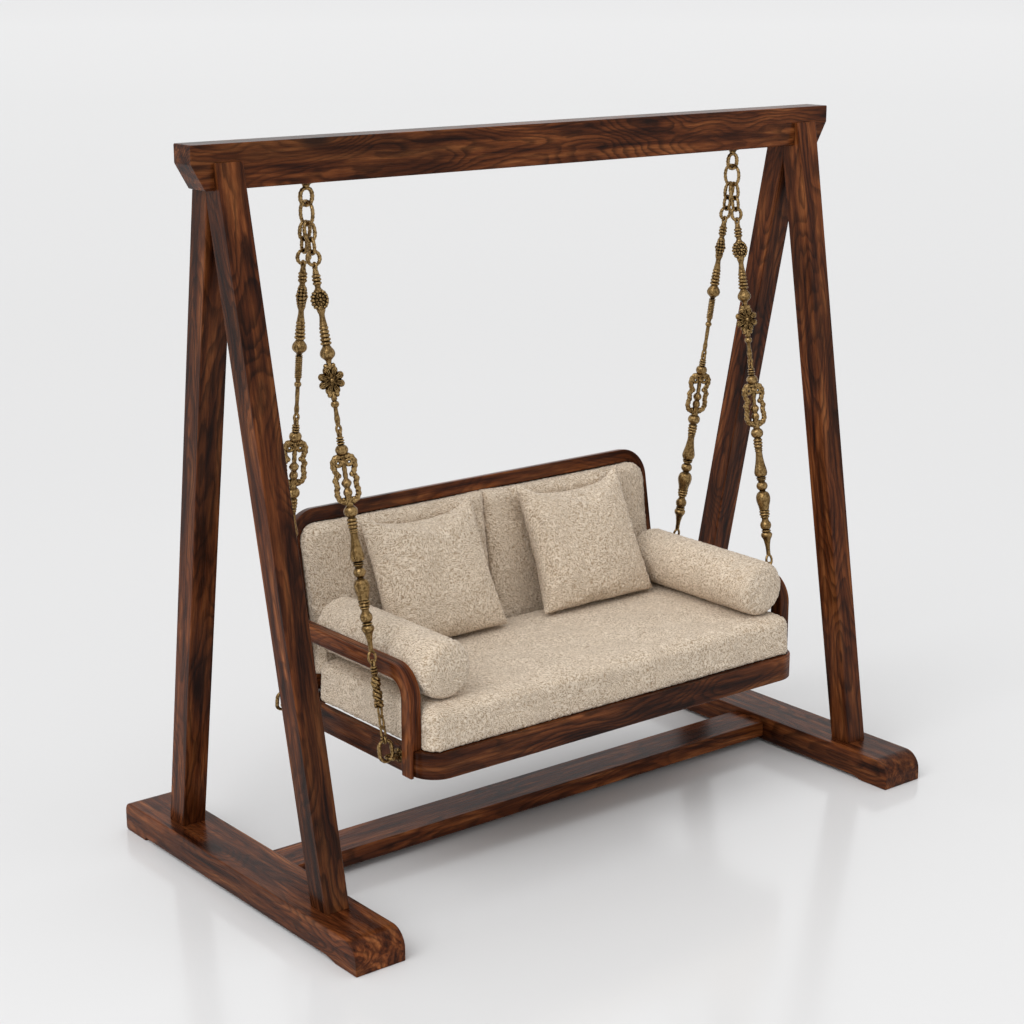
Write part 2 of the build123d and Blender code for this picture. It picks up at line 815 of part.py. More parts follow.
# ---- eyes that the hook rings hang on ----
with BuildPart() as seat_eyes:
    for side, y in seat_eye_places:
        outward = seat_eye_plane(side, y)
        rosette = [
            (seat_rosette_diameter / 2, 0),
            (seat_rosette_diameter / 2, seat_rosette_thickness / 2),
            (seat_rosette_diameter / 3, seat_rosette_thickness),
        ]
        add(turned(outward, rosette, rose_sides).part)
        loop_height = seat_eye_reach - seat_eye_wire / 2
        add(cast_loop(outward, seat_eye_wire / 2, seat_eye_gap, loop_height, seat_eye_corner,
                      seat_eye_wire).part)
        with Locations(Location((side * seat_eye_x, y, seat_eye_height), (90, 0, 0))):
            Cylinder(seat_eye_wire / 2, seat_eye_gap - 2 * seat_eye_corner)
        shank_inner = -side_rail_thickness - seat_nut_thickness - shank_end
        add(shank_prism(side, y, seat_shank_width, shank_inner, seat_rosette_thickness / 2).part)
save(seat_eyes, "seat_eyes")

with BuildPart() as seat_eye_nuts:
    for side, y in seat_eye_places:
        with BuildSketch(Plane((side * bench_inner, y, seat_eye_height), z_dir=(-side, 0, 0))):
            RegularPolygon(seat_nut_across / 2, 6, major_radius=False)
            RegularPolygon(seat_shank_width / 2, 8, major_radius=False, mode=Mode.SUBTRACT)
        extrude(amount=seat_nut_thickness)
save(seat_eye_nuts, "seat_eye_nuts")


# ======================================================================
# Bench: arms and backrest
# ======================================================================
def arm(side):
    """Bent arm and post in one: the post is lapped over the side rail and stands on it."""
    bend_inner = arm_bend_radius - arm_thickness
    low = rail_underside - post_toe
    with BuildPart() as piece:
        with BuildSketch(Plane.YZ.offset(side * (arm_inner + arm_width / 2))):
            with BuildLine():
                Line((arm_post_front, low), (arm_post_front, arm_top - arm_bend_radius))
                RadiusArc(
                    (arm_post_front, arm_top - arm_bend_radius),
                    (arm_post_front + arm_bend_radius, arm_top),
                    arm_bend_radius,
                )
                Polyline(
                    (arm_post_front + arm_bend_radius, arm_top),
                    (arm_rear, arm_top),
                    (arm_rear, arm_top - arm_thickness),
                    (arm_post_front + arm_bend_radius, arm_top - arm_thickness),
                )
                RadiusArc(
                    (arm_post_front + arm_bend_radius, arm_top - arm_thickness),
                    (arm_post_front + arm_thickness, arm_top - arm_bend_radius),
                    -bend_inner,
                )
                Polyline(
                    (arm_post_front + arm_thickness, arm_top - arm_bend_radius),
                    (arm_post_front + arm_thickness, low),
                    (arm_post_front, low),
                )
            make_face()
        extrude(amount=arm_width / 2, both=True)
        # lap over the side rail
        with Locations((side * (bench_half_width - arm_width / 2), arm_post_front + arm_thickness / 2, low)):
            Box(arm_width, 2 * arm_thickness, 2 * (rail_top - low), mode=Mode.SUBTRACT)
    return piece


for side in (-1, 1):
    save(arm(side), f"{side_name(side)}_arm")

# The backrest is drawn in its own leaning plane: X along the bench, Y up the slope,
# depth measured back from the front face of the frame.
back_plane = Plane(
    (0, back_foot_y, rail_underside),
    x_dir=(1, 0, 0),
    z_dir=(0, -cos(radians(back_recline)), sin(radians(back_recline))),
)


def back_slab(half_width, low, high, corner, front, rear, middle=0):
    """Slab in the backrest, its two upper corners rounded, from front to rear behind the face."""
    with BuildPart() as piece:
        with BuildSketch(back_plane.offset(-front)) as outline:
            with Locations((middle, (low + high) / 2)):
                Rectangle(2 * half_width, high - low)
            if corner:
                fillet(outline.vertices().group_by(Axis.Y)[-1], corner)
        extrude(amount=front - rear)
    return piece


with BuildPart() as backrest_frame:
    inner_top = back_length - back_top_rail
    add(back_slab(bench_inner, 0, back_length, back_corner_radius, 0, back_frame_thickness).part)
    add(back_slab(back_inner, -edge_break, inner_top, back_inner_radius, 0, back_frame_thickness).part,
        mode=Mode.SUBTRACT)
    # rebate for the panel, open to the rear
    add(back_slab(back_inner + panel_lap, cross_rail_station, inner_top + panel_lap,
                  back_inner_radius + panel_lap, panel_rebate, back_frame_thickness).part,
        mode=Mode.SUBTRACT)
save(backrest_frame, "backrest_frame")

save(
    back_slab(back_inner, cross_rail_station, cross_rail_station + cross_rail_height, 0, 0, panel_rebate),
    "backrest_cross_rail",
)
save(
    back_slab(back_inner + panel_lap, cross_rail_station, inner_top + panel_lap,
              back_inner_radius + panel_lap, panel_rebate, panel_rebate + panel_thickness),
    "backrest_panel",
)


# ======================================================================
# Upholstery
# ======================================================================
with BuildPart() as seat_cushion:
    cushion_half = bench_inner - cushion_side_gap
    with BuildSketch(Plane.XY.offset(rail_top + cloth_gap)) as plan:
        with Locations((0, (bench_front + cushion_ledge + cushion_rear) / 2)):
            Rectangle(2 * cushion_half, cushion_rear - bench_front - cushion_ledge)
        fillet(plan.vertices().group_by(Axis.Y)[0], cushion_corner)
    extrude(amount=cushion_thickness)
    chamfer(seat_cushion.faces().sort_by(Axis.Z)[-1].edges(), cushion_edge)
save(seat_cushion, "seat_cushion")

for side in (-1, 1):
    pad_half = (back_inner - 2 * cloth_gap) / 2
    pad_top = back_length - back_top_rail - cloth_gap
    with BuildPart() as back_pad:
        with BuildSketch(back_plane.offset(back_pad_depth)) as outline:
            with Locations((side * (pad_half + cloth_gap), (back_pad_bottom + pad_top) / 2)):
                Rectangle(2 * pad_half, pad_top - back_pad_bottom)
            corner = outline.vertices().sort_by(Axis.Y)[-2:].sort_by(Axis.X)[0 if side < 0 else -1]
            fillet(corner, back_inner_radius)
        extrude(amount=cloth_gap - back_pad_depth - panel_rebate)
        front_face = back_pad.faces().sort_by(Axis(back_plane.origin, back_plane.z_dir))[-1]
        chamfer(front_face.edges(), back_pad_edge)
    save(back_pad, f"{side_name(side)}_back_pad")

for side in (-1, 1):
    with BuildPart() as bolster:
        bolster_height = cushion_top + cloth_gap + bolster_diameter / 2
        with BuildSketch(Plane.XZ.offset(-bolster_front)):
            with Locations((side * bolster_x, bolster_height)):
                RegularPolygon(bolster_diameter / 2, 24)
        extrude(amount=bolster_front - bolster_rear)
        chamfer(bolster.faces().filter_by(Axis.Y).edges(), bolster_edge)
    save(bolster, f"{side_name(side)}_bolster")

for side in (-1, 1):
    lean = radians(pillow_lean)
    pillow_height_at = (
        cushion_top + cloth_gap + pillow_height / 2 * cos(lean) + pillow_rim / 2 * sin(lean)
    )
    leaning = Plane(
        (side * pillow_x, pillow_y, pillow_height_at),
        x_dir=(1, 0, 0),
        z_dir=(0, -cos(lean), sin(lean)),
    )
    with BuildPart() as pillow:
        with BuildSketch(leaning) as outline:
            Rectangle(pillow_width, pillow_height)
            chamfer(outline.vertices(), pillow_corner)
        extrude(amount=pillow_thickness / 2, both=True)
        # thin at the rim, full in the middle, seen along the width and along the height
        for edge_on, size in (
            (Plane(leaning.origin, x_dir=leaning.y_dir, z_dir=leaning.x_dir), pillow_height),
            (Plane(leaning.origin, x_dir=leaning.x_dir, z_dir=leaning.y_dir), pillow_width),
        ):
            with BuildSketch(edge_on):
                with BuildLine():
                    rim = Line((size / 2, -pillow_rim / 2), (size / 2, pillow_rim / 2))
                    crown = Line(rim @ 1, (size / 2 - pillow_crown, pillow_thickness / 2))
                    Line(crown @ 1, (0, pillow_thickness / 2))
                    other = Line(rim @ 0, (size / 2 - pillow_crown, -pillow_thickness / 2))
                    Line(other @ 1, (0, -pillow_thickness / 2))
                    mirror(about=Plane.YZ)
                make_face()
            extrude(amount=pillow_width, both=True, mode=Mode.INTERSECT)
    save(pillow, f"{side_name(side)}_pillow")
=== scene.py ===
"""Looks of the jhoola swing: polished sheesham, antique cast brass and cream boucle."""

import json
from collections import namedtuple
from math import atan2, copysign, cos, hypot, pi, radians, sin, sqrt, tau

import bmesh
import bpy
from mathutils import Euler, Matrix, Vector, noise
from mathutils.bvhtree import BVHTree

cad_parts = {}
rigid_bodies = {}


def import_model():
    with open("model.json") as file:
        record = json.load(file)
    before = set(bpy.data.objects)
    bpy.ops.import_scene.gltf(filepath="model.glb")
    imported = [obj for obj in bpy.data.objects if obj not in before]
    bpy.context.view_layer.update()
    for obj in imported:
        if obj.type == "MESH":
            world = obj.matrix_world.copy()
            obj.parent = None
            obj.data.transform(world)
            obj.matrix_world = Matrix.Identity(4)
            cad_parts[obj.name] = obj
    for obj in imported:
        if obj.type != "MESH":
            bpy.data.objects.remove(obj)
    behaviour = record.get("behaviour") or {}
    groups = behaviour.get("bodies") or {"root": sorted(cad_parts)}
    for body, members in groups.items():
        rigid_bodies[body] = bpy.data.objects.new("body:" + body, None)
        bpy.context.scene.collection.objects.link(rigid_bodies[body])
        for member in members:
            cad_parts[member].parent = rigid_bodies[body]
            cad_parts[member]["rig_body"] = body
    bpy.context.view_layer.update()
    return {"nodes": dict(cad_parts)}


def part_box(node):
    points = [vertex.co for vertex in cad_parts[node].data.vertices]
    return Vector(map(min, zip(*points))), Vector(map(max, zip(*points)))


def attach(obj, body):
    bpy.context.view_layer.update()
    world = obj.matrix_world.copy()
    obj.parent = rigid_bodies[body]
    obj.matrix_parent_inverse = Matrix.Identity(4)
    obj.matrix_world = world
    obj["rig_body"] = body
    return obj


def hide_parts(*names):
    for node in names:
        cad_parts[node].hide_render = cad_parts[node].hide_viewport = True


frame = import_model()
nodes = frame["nodes"]
scene = bpy.context.scene

MM = 0.001
SIDES = {"left": -1, "right": 1}
ENDS = {"front": -1, "rear": 1}

# ---- camera: stands at the left, in front of the swing, and looks slightly down ----
CAMERA_PLACE = (-3.4973, -4.2962, 2.3261)
CAMERA_YAW = -38.5
CAMERA_PITCH = -14.9
SENSOR = 36.0
FOCAL_PIXELS = 2103
IMAGE_SIDE = 1024

# ---- sizes shared with the solids: castings in millimetres, and what leans on the bench ----
CHAIN_SPREAD = 8  # from the middle of the carrying ring's bar to each of its two chains
RING_WIRE = 8.5
SEAT_EYE_WIRE = 7.5
SEAT_ROSE_RADIUS = 19
LINK_WIRE = 7.5
GAP = 0.3
BACK_RECLINE = radians(9.65)
PILLOW_LEAN = radians(24)


# ---- shader helpers ----
def new_material(name):
    material = bpy.data.materials.new(name)
    material.use_nodes = True
    return material, material.node_tree, material.node_tree.nodes["Principled BSDF"]


def feed(tree, socket, value):
    """Links another node's output to the socket, or sets the socket's own number or colour."""
    if isinstance(value, bpy.types.NodeSocket):
        tree.links.new(value, socket)
    else:
        socket.default_value = value


def fed(tree, made, **inputs):
    """The node with its inputs fed by name, where _ stands for a space."""
    for key, value in inputs.items():
        feed(tree, made.inputs[key.replace("_", " ")], value)
    return made


def node(tree, kind, settings=None, **inputs):
    """A shader node; each input is a number, a colour or another node's output."""
    made = tree.nodes.new("ShaderNode" + kind)
    for key, value in (settings or {}).items():
        setattr(made, key, value)
    return fed(tree, made, **inputs)


def of_two(tree, kind, settings, first, second):
    """Outputs of a node that works on its first two inputs."""
    made = node(tree, kind, settings)
    for socket, value in zip(made.inputs, (first, second)):
        feed(tree, socket, value)
    return made.outputs


def math(tree, operation, first, second=0.0, clamp=False):
    settings = {"operation": operation, "use_clamp": clamp}
    return of_two(tree, "Math", settings, first, second)[0]


def plus(tree, base, value, share):
    """The base and a share of the value."""
    return math(tree, "ADD", base, math(tree, "MULTIPLY", value, share))


def mapped(tree, vector, scale):
    return node(tree, "Mapping", Vector=vector, Scale=scale).outputs["Vector"]


def noise_value(tree, vector, scale, detail=3.0, rough=0.5, distortion=0.0):
    return node(
        tree, "TexNoise",
        Vector=vector, Scale=scale, Detail=detail, Roughness=rough, Distortion=distortion,
    ).outputs["Fac"]


def ramp(tree, value, stops, smooth=True):
    """Colour ramp; a stop is (place, grey) or (place, (r, g, b))."""
    made = node(tree, "ValToRGB", Fac=value)
    band = made.color_ramp
    band.interpolation = "EASE" if smooth else "LINEAR"
    while len(band.elements) < len(stops):
        band.elements.new(0.5)
    for element, (place, shade) in zip(band.elements, stops):
        element.position = place
        element.color = (*shade, 1) if isinstance(shade, tuple) else (shade, shade, shade, 1)
    return made.outputs["Color"]


def tinted(stops, light):
    """Colour stops with every colour made that much lighter."""
    return [(place, tuple(part * light for part in shade)) for place, shade in stops]


def mix(tree, factor, first, second, blend="MIX"):
    """Colour mix of first and second."""
    made = node(tree, "Mix", {"data_type": "RGBA", "blend_type": blend})
    for index, value in ((0, factor), (6, first), (7, second)):
        feed(tree, made.inputs[index], (*value, 1) if isinstance(value, tuple) else value)
    return made.outputs[2]


def bump(tree, height, strength, distance):
    made = node(tree, "Bump", Height=height, Strength=strength, Distance=distance)
    return made.outputs["Normal"]


# ---- materials ----
def wood_material(name, light=1.0):
    """Polished sheesham: red-brown, with thin dark growth lines that curl round a few knots.
    It reads the pieces' grain attribute: along the timber and twice across it."""
    material, tree, surface = new_material(name)
    grain = node(tree, "Attribute", {"attribute_name": "grain"}).outputs["Vector"]
    axes = node(tree, "SeparateXYZ", Vector=grain).outputs

    def drawn_out(share):
        """Place in the timber for marks drawn out along it; the smaller the share, the longer."""
        return mapped(tree, grain, (share, 1, 1))

    along = drawn_out(0.26)
    cells = node(tree, "TexVoronoi", Vector=drawn_out(0.40), Scale=4.8).outputs["Distance"]
    knot = ramp(tree, cells, ((0.03, 1.0), (0.38, 0.0)))

    # growth lines: contours of a slow noise, sloped across the timber and heaped up at the knots
    field = math(tree, "MULTIPLY", noise_value(tree, along, 5.2, 2.5, 0.5), 1.25)
    field = plus(tree, field, knot, 0.22)
    field = plus(tree, field, math(tree, "ADD", axes["Y"], axes["Z"]), 0.7)
    field = plus(tree, field, noise_value(tree, along, 46.0, 3.0, 0.6), 0.05)
    growth = math(tree, "FRACT", math(tree, "MULTIPLY", field, 22.0))
    line_stops = ((0.0, 0.38), (0.16, 0.48), (0.46, 0.93), (0.84, 1.0), (1.0, 0.38))
    lines = ramp(tree, growth, line_stops, smooth=False)

    streaks = noise_value(tree, drawn_out(0.08), 44.0, 4.0, 0.62, 0.3)
    tone = ramp(tree, streaks, tinted((
        (0.32, (0.026, 0.0062, 0.0022)),
        (0.45, (0.086, 0.0220, 0.0066)),
        (0.56, (0.158, 0.0450, 0.0130)),
        (0.70, (0.290, 0.0980, 0.0300)),
    ), light), smooth=False)
    weight = ramp(tree, noise_value(tree, along, 9.0, 2.0), ((0.36, 0.55), (0.60, 1.0)))
    tone = mix(tree, weight, tone, mix(tree, 1.0, tone, lines, "MULTIPLY"))
    heart = noise_value(tree, drawn_out(0.2), 7.0, 3.0, 0.55)
    tone = mix(tree, 0.8, tone, ramp(tree, heart, ((0.40, 1.0), (0.66, 0.34))), "MULTIPLY")
    knot_core = ramp(tree, cells, ((0.05, 0.85), (0.13, 0.0)))
    tone = mix(tree, knot_core, tone, (0.014, 0.006, 0.004))
    pores = noise_value(tree, drawn_out(0.035), 800.0, 2.0)
    tone = mix(tree, 0.5, tone, ramp(tree, pores, ((0.36, 0.35), (0.46, 1.0))), "MULTIPLY")
    fibre = noise_value(tree, drawn_out(0.03), 420.0, 3.0)
    fed(
        tree, surface,
        Base_Color=tone,
        Roughness=ramp(tree, fibre, ((0.3, 0.24), (0.7, 0.36))),
        Specular_IOR_Level=0.09, Coat_Weight=0.04, Coat_Roughness=0.14,
        Normal=bump(tree, fibre, 0.2, 0.0004),
    )
    return material


def brass_material(name, painted_shade_factor=1.0):
    """Antique cast brass: dark patina in the hollows, rubbed gold on what stands out."""
    material, tree, surface = new_material(name)
    place = node(tree, "TexCoord").outputs["Object"]
    pointed = node(tree, "NewGeometry").outputs["Pointiness"]
    edges = ramp(tree, pointed, ((0.43, 0.15), (0.49, 0.70), (0.55, 1.0)))
    shelter = node(tree, "Attribute", {"attribute_name": "shelter"}).outputs["Fac"]
    open_air = ramp(tree, shelter, ((0.10, 1.0), (0.62, 0.08)))
    patches = noise_value(tree, place, 150.0, 4.0, 0.62)
    rubbed = math(tree, "MULTIPLY", edges, ramp(tree, patches, ((0.34, 0.55), (0.58, 1.0))))
    rubbed = math(tree, "MULTIPLY", rubbed, open_air, clamp=True)
    patina = (0.04, (0.024, 0.013, 0.005))
    metal = (
        (0.35, (0.080, 0.047, 0.017)),
        (0.65, (0.180, 0.108, 0.041)),
        (1.00, (0.385, 0.252, 0.106)),
    )
    hammered = noise_value(tree, place, 260.0, 2.0, 0.5)
    fed(
        tree, surface,
        # below 1 the factor darkens every metal tone of the piece: painted shade; the patina stop
        # stays
        Base_Color=ramp(tree, rubbed, [patina, *tinted(metal, painted_shade_factor)]),
        Metallic=1.0,
        Roughness=ramp(tree, patches, ((0.35, 0.44), (0.65, 0.24))),
        Normal=bump(tree, hammered, 0.35, 0.0014),
    )
    return material


def steel_material():
    """Zinc-plated steel, for the fixings inside."""
    material, tree, surface = new_material("zinc_steel")
    spangle = noise_value(tree, node(tree, "TexCoord").outputs["Object"], 300.0, 3.0)
    fed(
        tree, surface,
        Base_Color=ramp(tree, spangle, ((0.3, 0.34), (0.7, 0.52))),
        Metallic=1.0,
        Roughness=ramp(tree, spangle, ((0.3, 0.5), (0.7, 0.32))),
    )
    return material


def boucle_material():
    """Cream boucle: short curled yarns lying in drifting whorls, with painted shade between the
    curls and painted highlights on their tops.
    """
    material, tree, surface = new_material("boucle")
    place = node(tree, "TexCoord").outputs["Object"]
    axes = node(tree, "SeparateXYZ", Vector=place).outputs
    # the yarns drift along bands bent by a slow noise, and each small cell turns them its own way
    slope = math(tree, "ADD", axes["X"], math(tree, "ADD", axes["Y"], axes["Z"]))
    bands = math(tree, "MULTIPLY", slope, 70.0)
    bands = plus(tree, bands, noise_value(tree, place, 5.5, 1.0), 30.0)
    bands = plus(tree, bands, noise_value(tree, place, 80.0, 1.0), 2.5)
    cells = node(tree, "TexVoronoi", Vector=place, Scale=95.0).outputs["Color"]
    heading = of_two(tree, "VectorMath", {"operation": "SUBTRACT"}, cells, (0.5, 0.5, 0.5))[0]
    turned = of_two(tree, "VectorMath", {"operation": "DOT_PRODUCT"}, place, heading)["Value"]
    bands = plus(tree, bands, turned, 190.0)
    yarns = math(tree, "SINE", math(tree, "MULTIPLY", bands, tau))
    yarns = math(tree, "ADD", math(tree, "MULTIPLY", yarns, 0.5), 0.5)
    loops = noise_value(tree, place, 190.0, 2.0, 0.6, 1.4)
    height = plus(tree, math(tree, "MULTIPLY", yarns, 0.22), loops, 0.78)
    # painted light and shade: the colour follows the curl height, darker in the hollows between the
    # curls and lighter on their tops
    tone = ramp(tree, height, (
        (0.34, (0.375, 0.272, 0.175)),
        (0.48, (0.650, 0.520, 0.382)),
        (0.62, (0.820, 0.700, 0.560)),
    ))
    broad = ramp(tree, noise_value(tree, place, 12.0, 2.0), ((0.35, 0.90), (0.65, 1.0)))
    fed(
        tree, surface,
        Base_Color=mix(tree, 0.5, tone, broad, "MULTIPLY"),
        Roughness=0.95, Specular_IOR_Level=0.2, Sheen_Weight=0.2, Sheen_Roughness=0.6,
        Normal=bump(tree, height, 0.85, 0.004),
    )
    return material


def floor_material():
    """Pale, faintly polished floor that is also the backdrop."""
    material, tree, surface = new_material("studio_floor")
    fed(tree, surface, Base_Color=(0.76, 0.76, 0.763, 1), Roughness=0.16)
    return material


wood_stand = wood_material("sheesham_stand")
wood_base = wood_material("sheesham_base", light=1.3)
wood_bench = wood_material("sheesham_bench", light=1.2)
brass = brass_material("antique_brass")
# a darker copy of the brass for the seat eyes: painted shade of the corner behind the arm posts
brass_in_painted_shade = brass_material("brass_in_painted_shade", painted_shade_factor=0.8)
steel = steel_material()
boucle = boucle_material()


# ---- mesh helpers ----
def surfaced(mesh, material):
    mesh.materials.clear()
    mesh.materials.append(material)


def face_outwards(bm):
    """Turns the faces of every closed shell outwards."""
    bmesh.ops.recalc_face_normals(bm, faces=bm.faces)
    left = set(bm.faces)
    while left:
        shell = {left.pop()}
        border = list(shell)
        while border:
            face = border.pop()
            for edge in face.edges:
                for other in edge.link_faces:
                    if other in left:
                        left.remove(other)
                        shell.add(other)
                        border.append(other)
        middle = next(iter(shell)).calc_center_median()
        volume = 0.0
        for face in shell:
            first, *others = [vertex.co - middle for vertex in face.verts]
            volume += sum(first.dot(b.cross(c)) for b, c in zip(others, others[1:]))
        if volume < 0:
            bmesh.ops.reverse_faces(bm, faces=list(shell))


def to_object(name, bm, material, matrix=None, crease=38):
    """Turns a bmesh into an object with smooth faces; edges above the crease angle stay sharp."""
    if matrix is not None:
        bm.transform(matrix)
    face_outwards(bm)
    for face in bm.faces:
        face.smooth = True
    for edge in bm.edges:
        edge.smooth = edge.calc_face_angle(0) < radians(crease)
    mesh = bpy.data.meshes.new(name)
    bm.to_mesh(mesh)
    bm.free()
    surfaced(mesh, material)
    made = bpy.data.objects.new(name, mesh)
    scene.collection.objects.link(made)
    return made


def join(bm, part):
    """Adds a bmesh to another one and frees it."""
    mesh = bpy.data.meshes.new("part")
    part.to_mesh(mesh)
    part.free()
    bm.from_mesh(mesh)
    bpy.data.meshes.remove(mesh)


def carried(piece, body, name):
    """The piece rides on a body and stands for a CAD node."""
    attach(piece, body)
    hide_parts(name)
    return piece


def box_in(name, matrix):
    """Lowest and highest corner of a CAD node in the matrix's own frame."""
    inverse = matrix.inverted()
    points = [inverse @ vertex.co for vertex in nodes[name].data.vertices]
    low, high = ([pick(p[k] for p in points) for k in range(3)] for pick in (min, max))
    return Vector(low), Vector(high)


def around(count, start=0.0):
    """Angles at an even pitch round a circle; start is the first one, as a share of the pitch."""
    return [tau * (index + start) / count for index in range(count)]


def sheltered(piece, reach=0.007):
    """Stores the share of sky that the piece itself hides from each vertex, where dirt stays."""
    points = [vertex.co for vertex in piece.data.vertices]
    solid = BVHTree.FromPolygons(points, [polygon.vertices[:] for polygon in piece.data.polygons])
    values = []
    for vertex in piece.data.vertices:
        normal = vertex.normal
        side = normal.orthogonal().normalized()
        other = normal.cross(side)
        start = vertex.co + normal * 0.0003
        # five rays lean out round the normal, and one follows it
        rays = [normal * 0.6 + (side * cos(turn) + other * sin(turn)) * 0.8 for turn in around(5)]
        rays.append(normal)
        hits = sum(solid.ray_cast(start, ray, reach)[0] is not None for ray in rays)
        values.append(hits / len(rays))
    piece.data.attributes.new("shelter", "FLOAT", "POINT").data.foreach_set("value", values)
    return piece


def smooth(points, steps=6):
    """Open Catmull-Rom curve through points of any dimension."""
    last = len(points) - 1
    made = []
    for index in range(last):
        a, b, c, d = (points[min(max(index + k, 0), last)] for k in (-1, 0, 1, 2))
        for step in range(steps):
            t = step / steps
            made.append(tuple(
                0.5 * (
                    2 * b[k]
                    + (c[k] - a[k]) * t
                    + (2 * a[k] - 5 * b[k] + 4 * c[k] - d[k]) * t**2
                    + (3 * b[k] - a[k] - 3 * c[k] + d[k]) * t**3
                )
                for k in range(len(b))
            ))
    made.append(tuple(points[-1]))
    return made


def skin(bm, rings, closed=False):
    """Faces from each ring of vertices to the next, and over both ends of an open row."""
    for low, high in list(zip(rings, rings[1:])) + ([(rings[-1], rings[0])] if closed else []):
        for side in range(len(low)):
            other = (side + 1) % len(low)
            bm.faces.new((low[side], low[other], high[other], high[side]))
    if not closed:
        bm.faces.new(rings[0])
        bm.faces.new(rings[-1])


def lathe(bm, profile, sides=24, flutes=0, flute=0.0):
    """Turned form about the Y axis through (radius, station) pairs, with or without flutes."""
    rings = []
    for radius, station in profile:
        ring = []
        for turn in around(sides):
            reach = radius * (1 + flute * cos(flutes * turn))
            ring.append(bm.verts.new((reach * cos(turn), station, reach * sin(turn))))
        rings.append(ring)
    skin(bm, rings)


def tube(bm, points, radius, sides=10, closed=False, flutes=0, flute=0.0, pitch=1.0):
    """Round wire along points; radius is a number, or a list with one for each point.
    With flutes it looks twisted, one turn in each pitch."""
    points = [Vector(p) for p in points]
    count = len(points)
    radii = radius if isinstance(radius, list) else [radius] * count
    tangents = []
    for index in range(count):
        before = points[index - 1] if closed or index else points[0]
        after = points[(index + 1) % count] if closed else points[min(index + 1, count - 1)]
        tangents.append((after - before).normalized())
    normal = tangents[0].orthogonal().normalized()
    travelled = 0.0
    rings = []
    for index, (point, tangent) in enumerate(zip(points, tangents)):
        if index:
            travelled += (point - points[index - 1]).length
            normal = tangents[index - 1].rotation_difference(tangent) @ normal
        side_axis = tangent.cross(normal)
        ring = []
        for turn in around(sides):
            reach = radii[index] * (1 + flute * cos(flutes * turn + tau * travelled / pitch))
            ring.append(bm.verts.new(point + (normal * cos(turn) + side_axis * sin(turn)) * reach))
        rings.append(ring)
    skin(bm, rings, closed)


def ellipsoid(bm, centre, radii, turn=0.0, segments=12, rings=8):
    """Ellipsoid with its own axes turned about Z."""
    turned = Matrix.Translation(centre) @ Matrix.Rotation(turn, 4, "Z")
    place = turned @ Matrix.Diagonal((*radii, 1))
    bmesh.ops.create_uvsphere(bm, u_segments=segments, v_segments=rings, radius=1, matrix=place)


def bead(radius, first, last, neck, steps=7):
    """Profile of a round bead from neck to neck."""
    return [
        (neck + (radius - neck) * sin(pi * k / steps) ** 0.75, first + (last - first) * k / steps)
        for k in range(steps + 1)
    ]


def beads(radii, first, last, neck):
    """Profile of beads side by side."""
    pitch = (last - first) / len(radii)
    return [
        pair for index, radius in enumerate(radii)
        for pair in bead(radius, first + index * pitch, first + (index + 1) * pitch, neck)
    ]


def ball(radius, station, neck, steps=12):
    """Profile of a ball between two necks."""
    start = atan2(neck, sqrt(radius**2 - neck**2))
    turns = [start + (pi - 2 * start) * k / steps for k in range(steps + 1)]
    return [(radius * sin(turn), station - radius * cos(turn)) for turn in turns]


def fuller(profile, swell=1.12):
    """The same profile, a little thicker."""
    return [(radius * swell, station) for radius, station in profile]


def ellipse(centre, half_width, half_height, steps=22):
    """Closed ellipse in the XY plane."""
    x, y = centre
    return [(x + half_width * cos(turn), y + half_height * sin(turn), 0) for turn in around(steps)]


def oval_loop(start, width, height, power=2.35, steps=44):
    """Closed oval in the XY plane, a little squarer than an ellipse when the power is above 2.
    Its first bar crosses Y at start."""
    made = []
    for turn in around(steps):
        across, down = (copysign(abs(wave(turn)) ** (2 / power), wave(turn)) for wave in (cos, sin))
        made.append((width / 2 * across, start + height / 2 * (1 + down), 0))
    return made


def rounded_loop(start, width, height, corner, steps=8):
    """Closed rounded outline in the XY plane whose first bar crosses Y at start."""
    made = []
    for across, down, first in ((1, 1, 0), (-1, 1, 90), (-1, -1, 180), (1, -1, 270)):
        for step in range(steps + 1):
            turn = radians(first + 90 * step / steps)
            made.append((
                across * (width / 2 - corner) + corner * cos(turn),
                start + height / 2 + down * (height / 2 - corner) + corner * sin(turn),
                0,
            ))
    return made


def spaced(points, pitch, closed=True):
    """The same line with points at an even pitch."""
    points = [Vector(p) for p in points]
    if closed:
        points.append(points[0].copy())
    lengths = [0.0]
    for low, high in zip(points, points[1:]):
        lengths.append(lengths[-1] + (high - low).length)
    count = max(8, round(lengths[-1] / pitch))
    made = []
    index = 0
    for step in range(count if closed else count + 1):
        target = lengths[-1] * step / count
        while index < len(points) - 2 and lengths[index + 1] < target:
            index += 1
        run = max(lengths[index + 1] - lengths[index], 1e-9)
        made.append(points[index].lerp(points[index + 1], (target - lengths[index]) / run))
    return made


# ---- brass ----
# A chain has its own millimetres: X across it, Y down it from the carrying ring's bar (the
# stations) and Z through it. Profiles are lists of (radius, station).
Chain = namedtuple("Chain", "side end matrix")

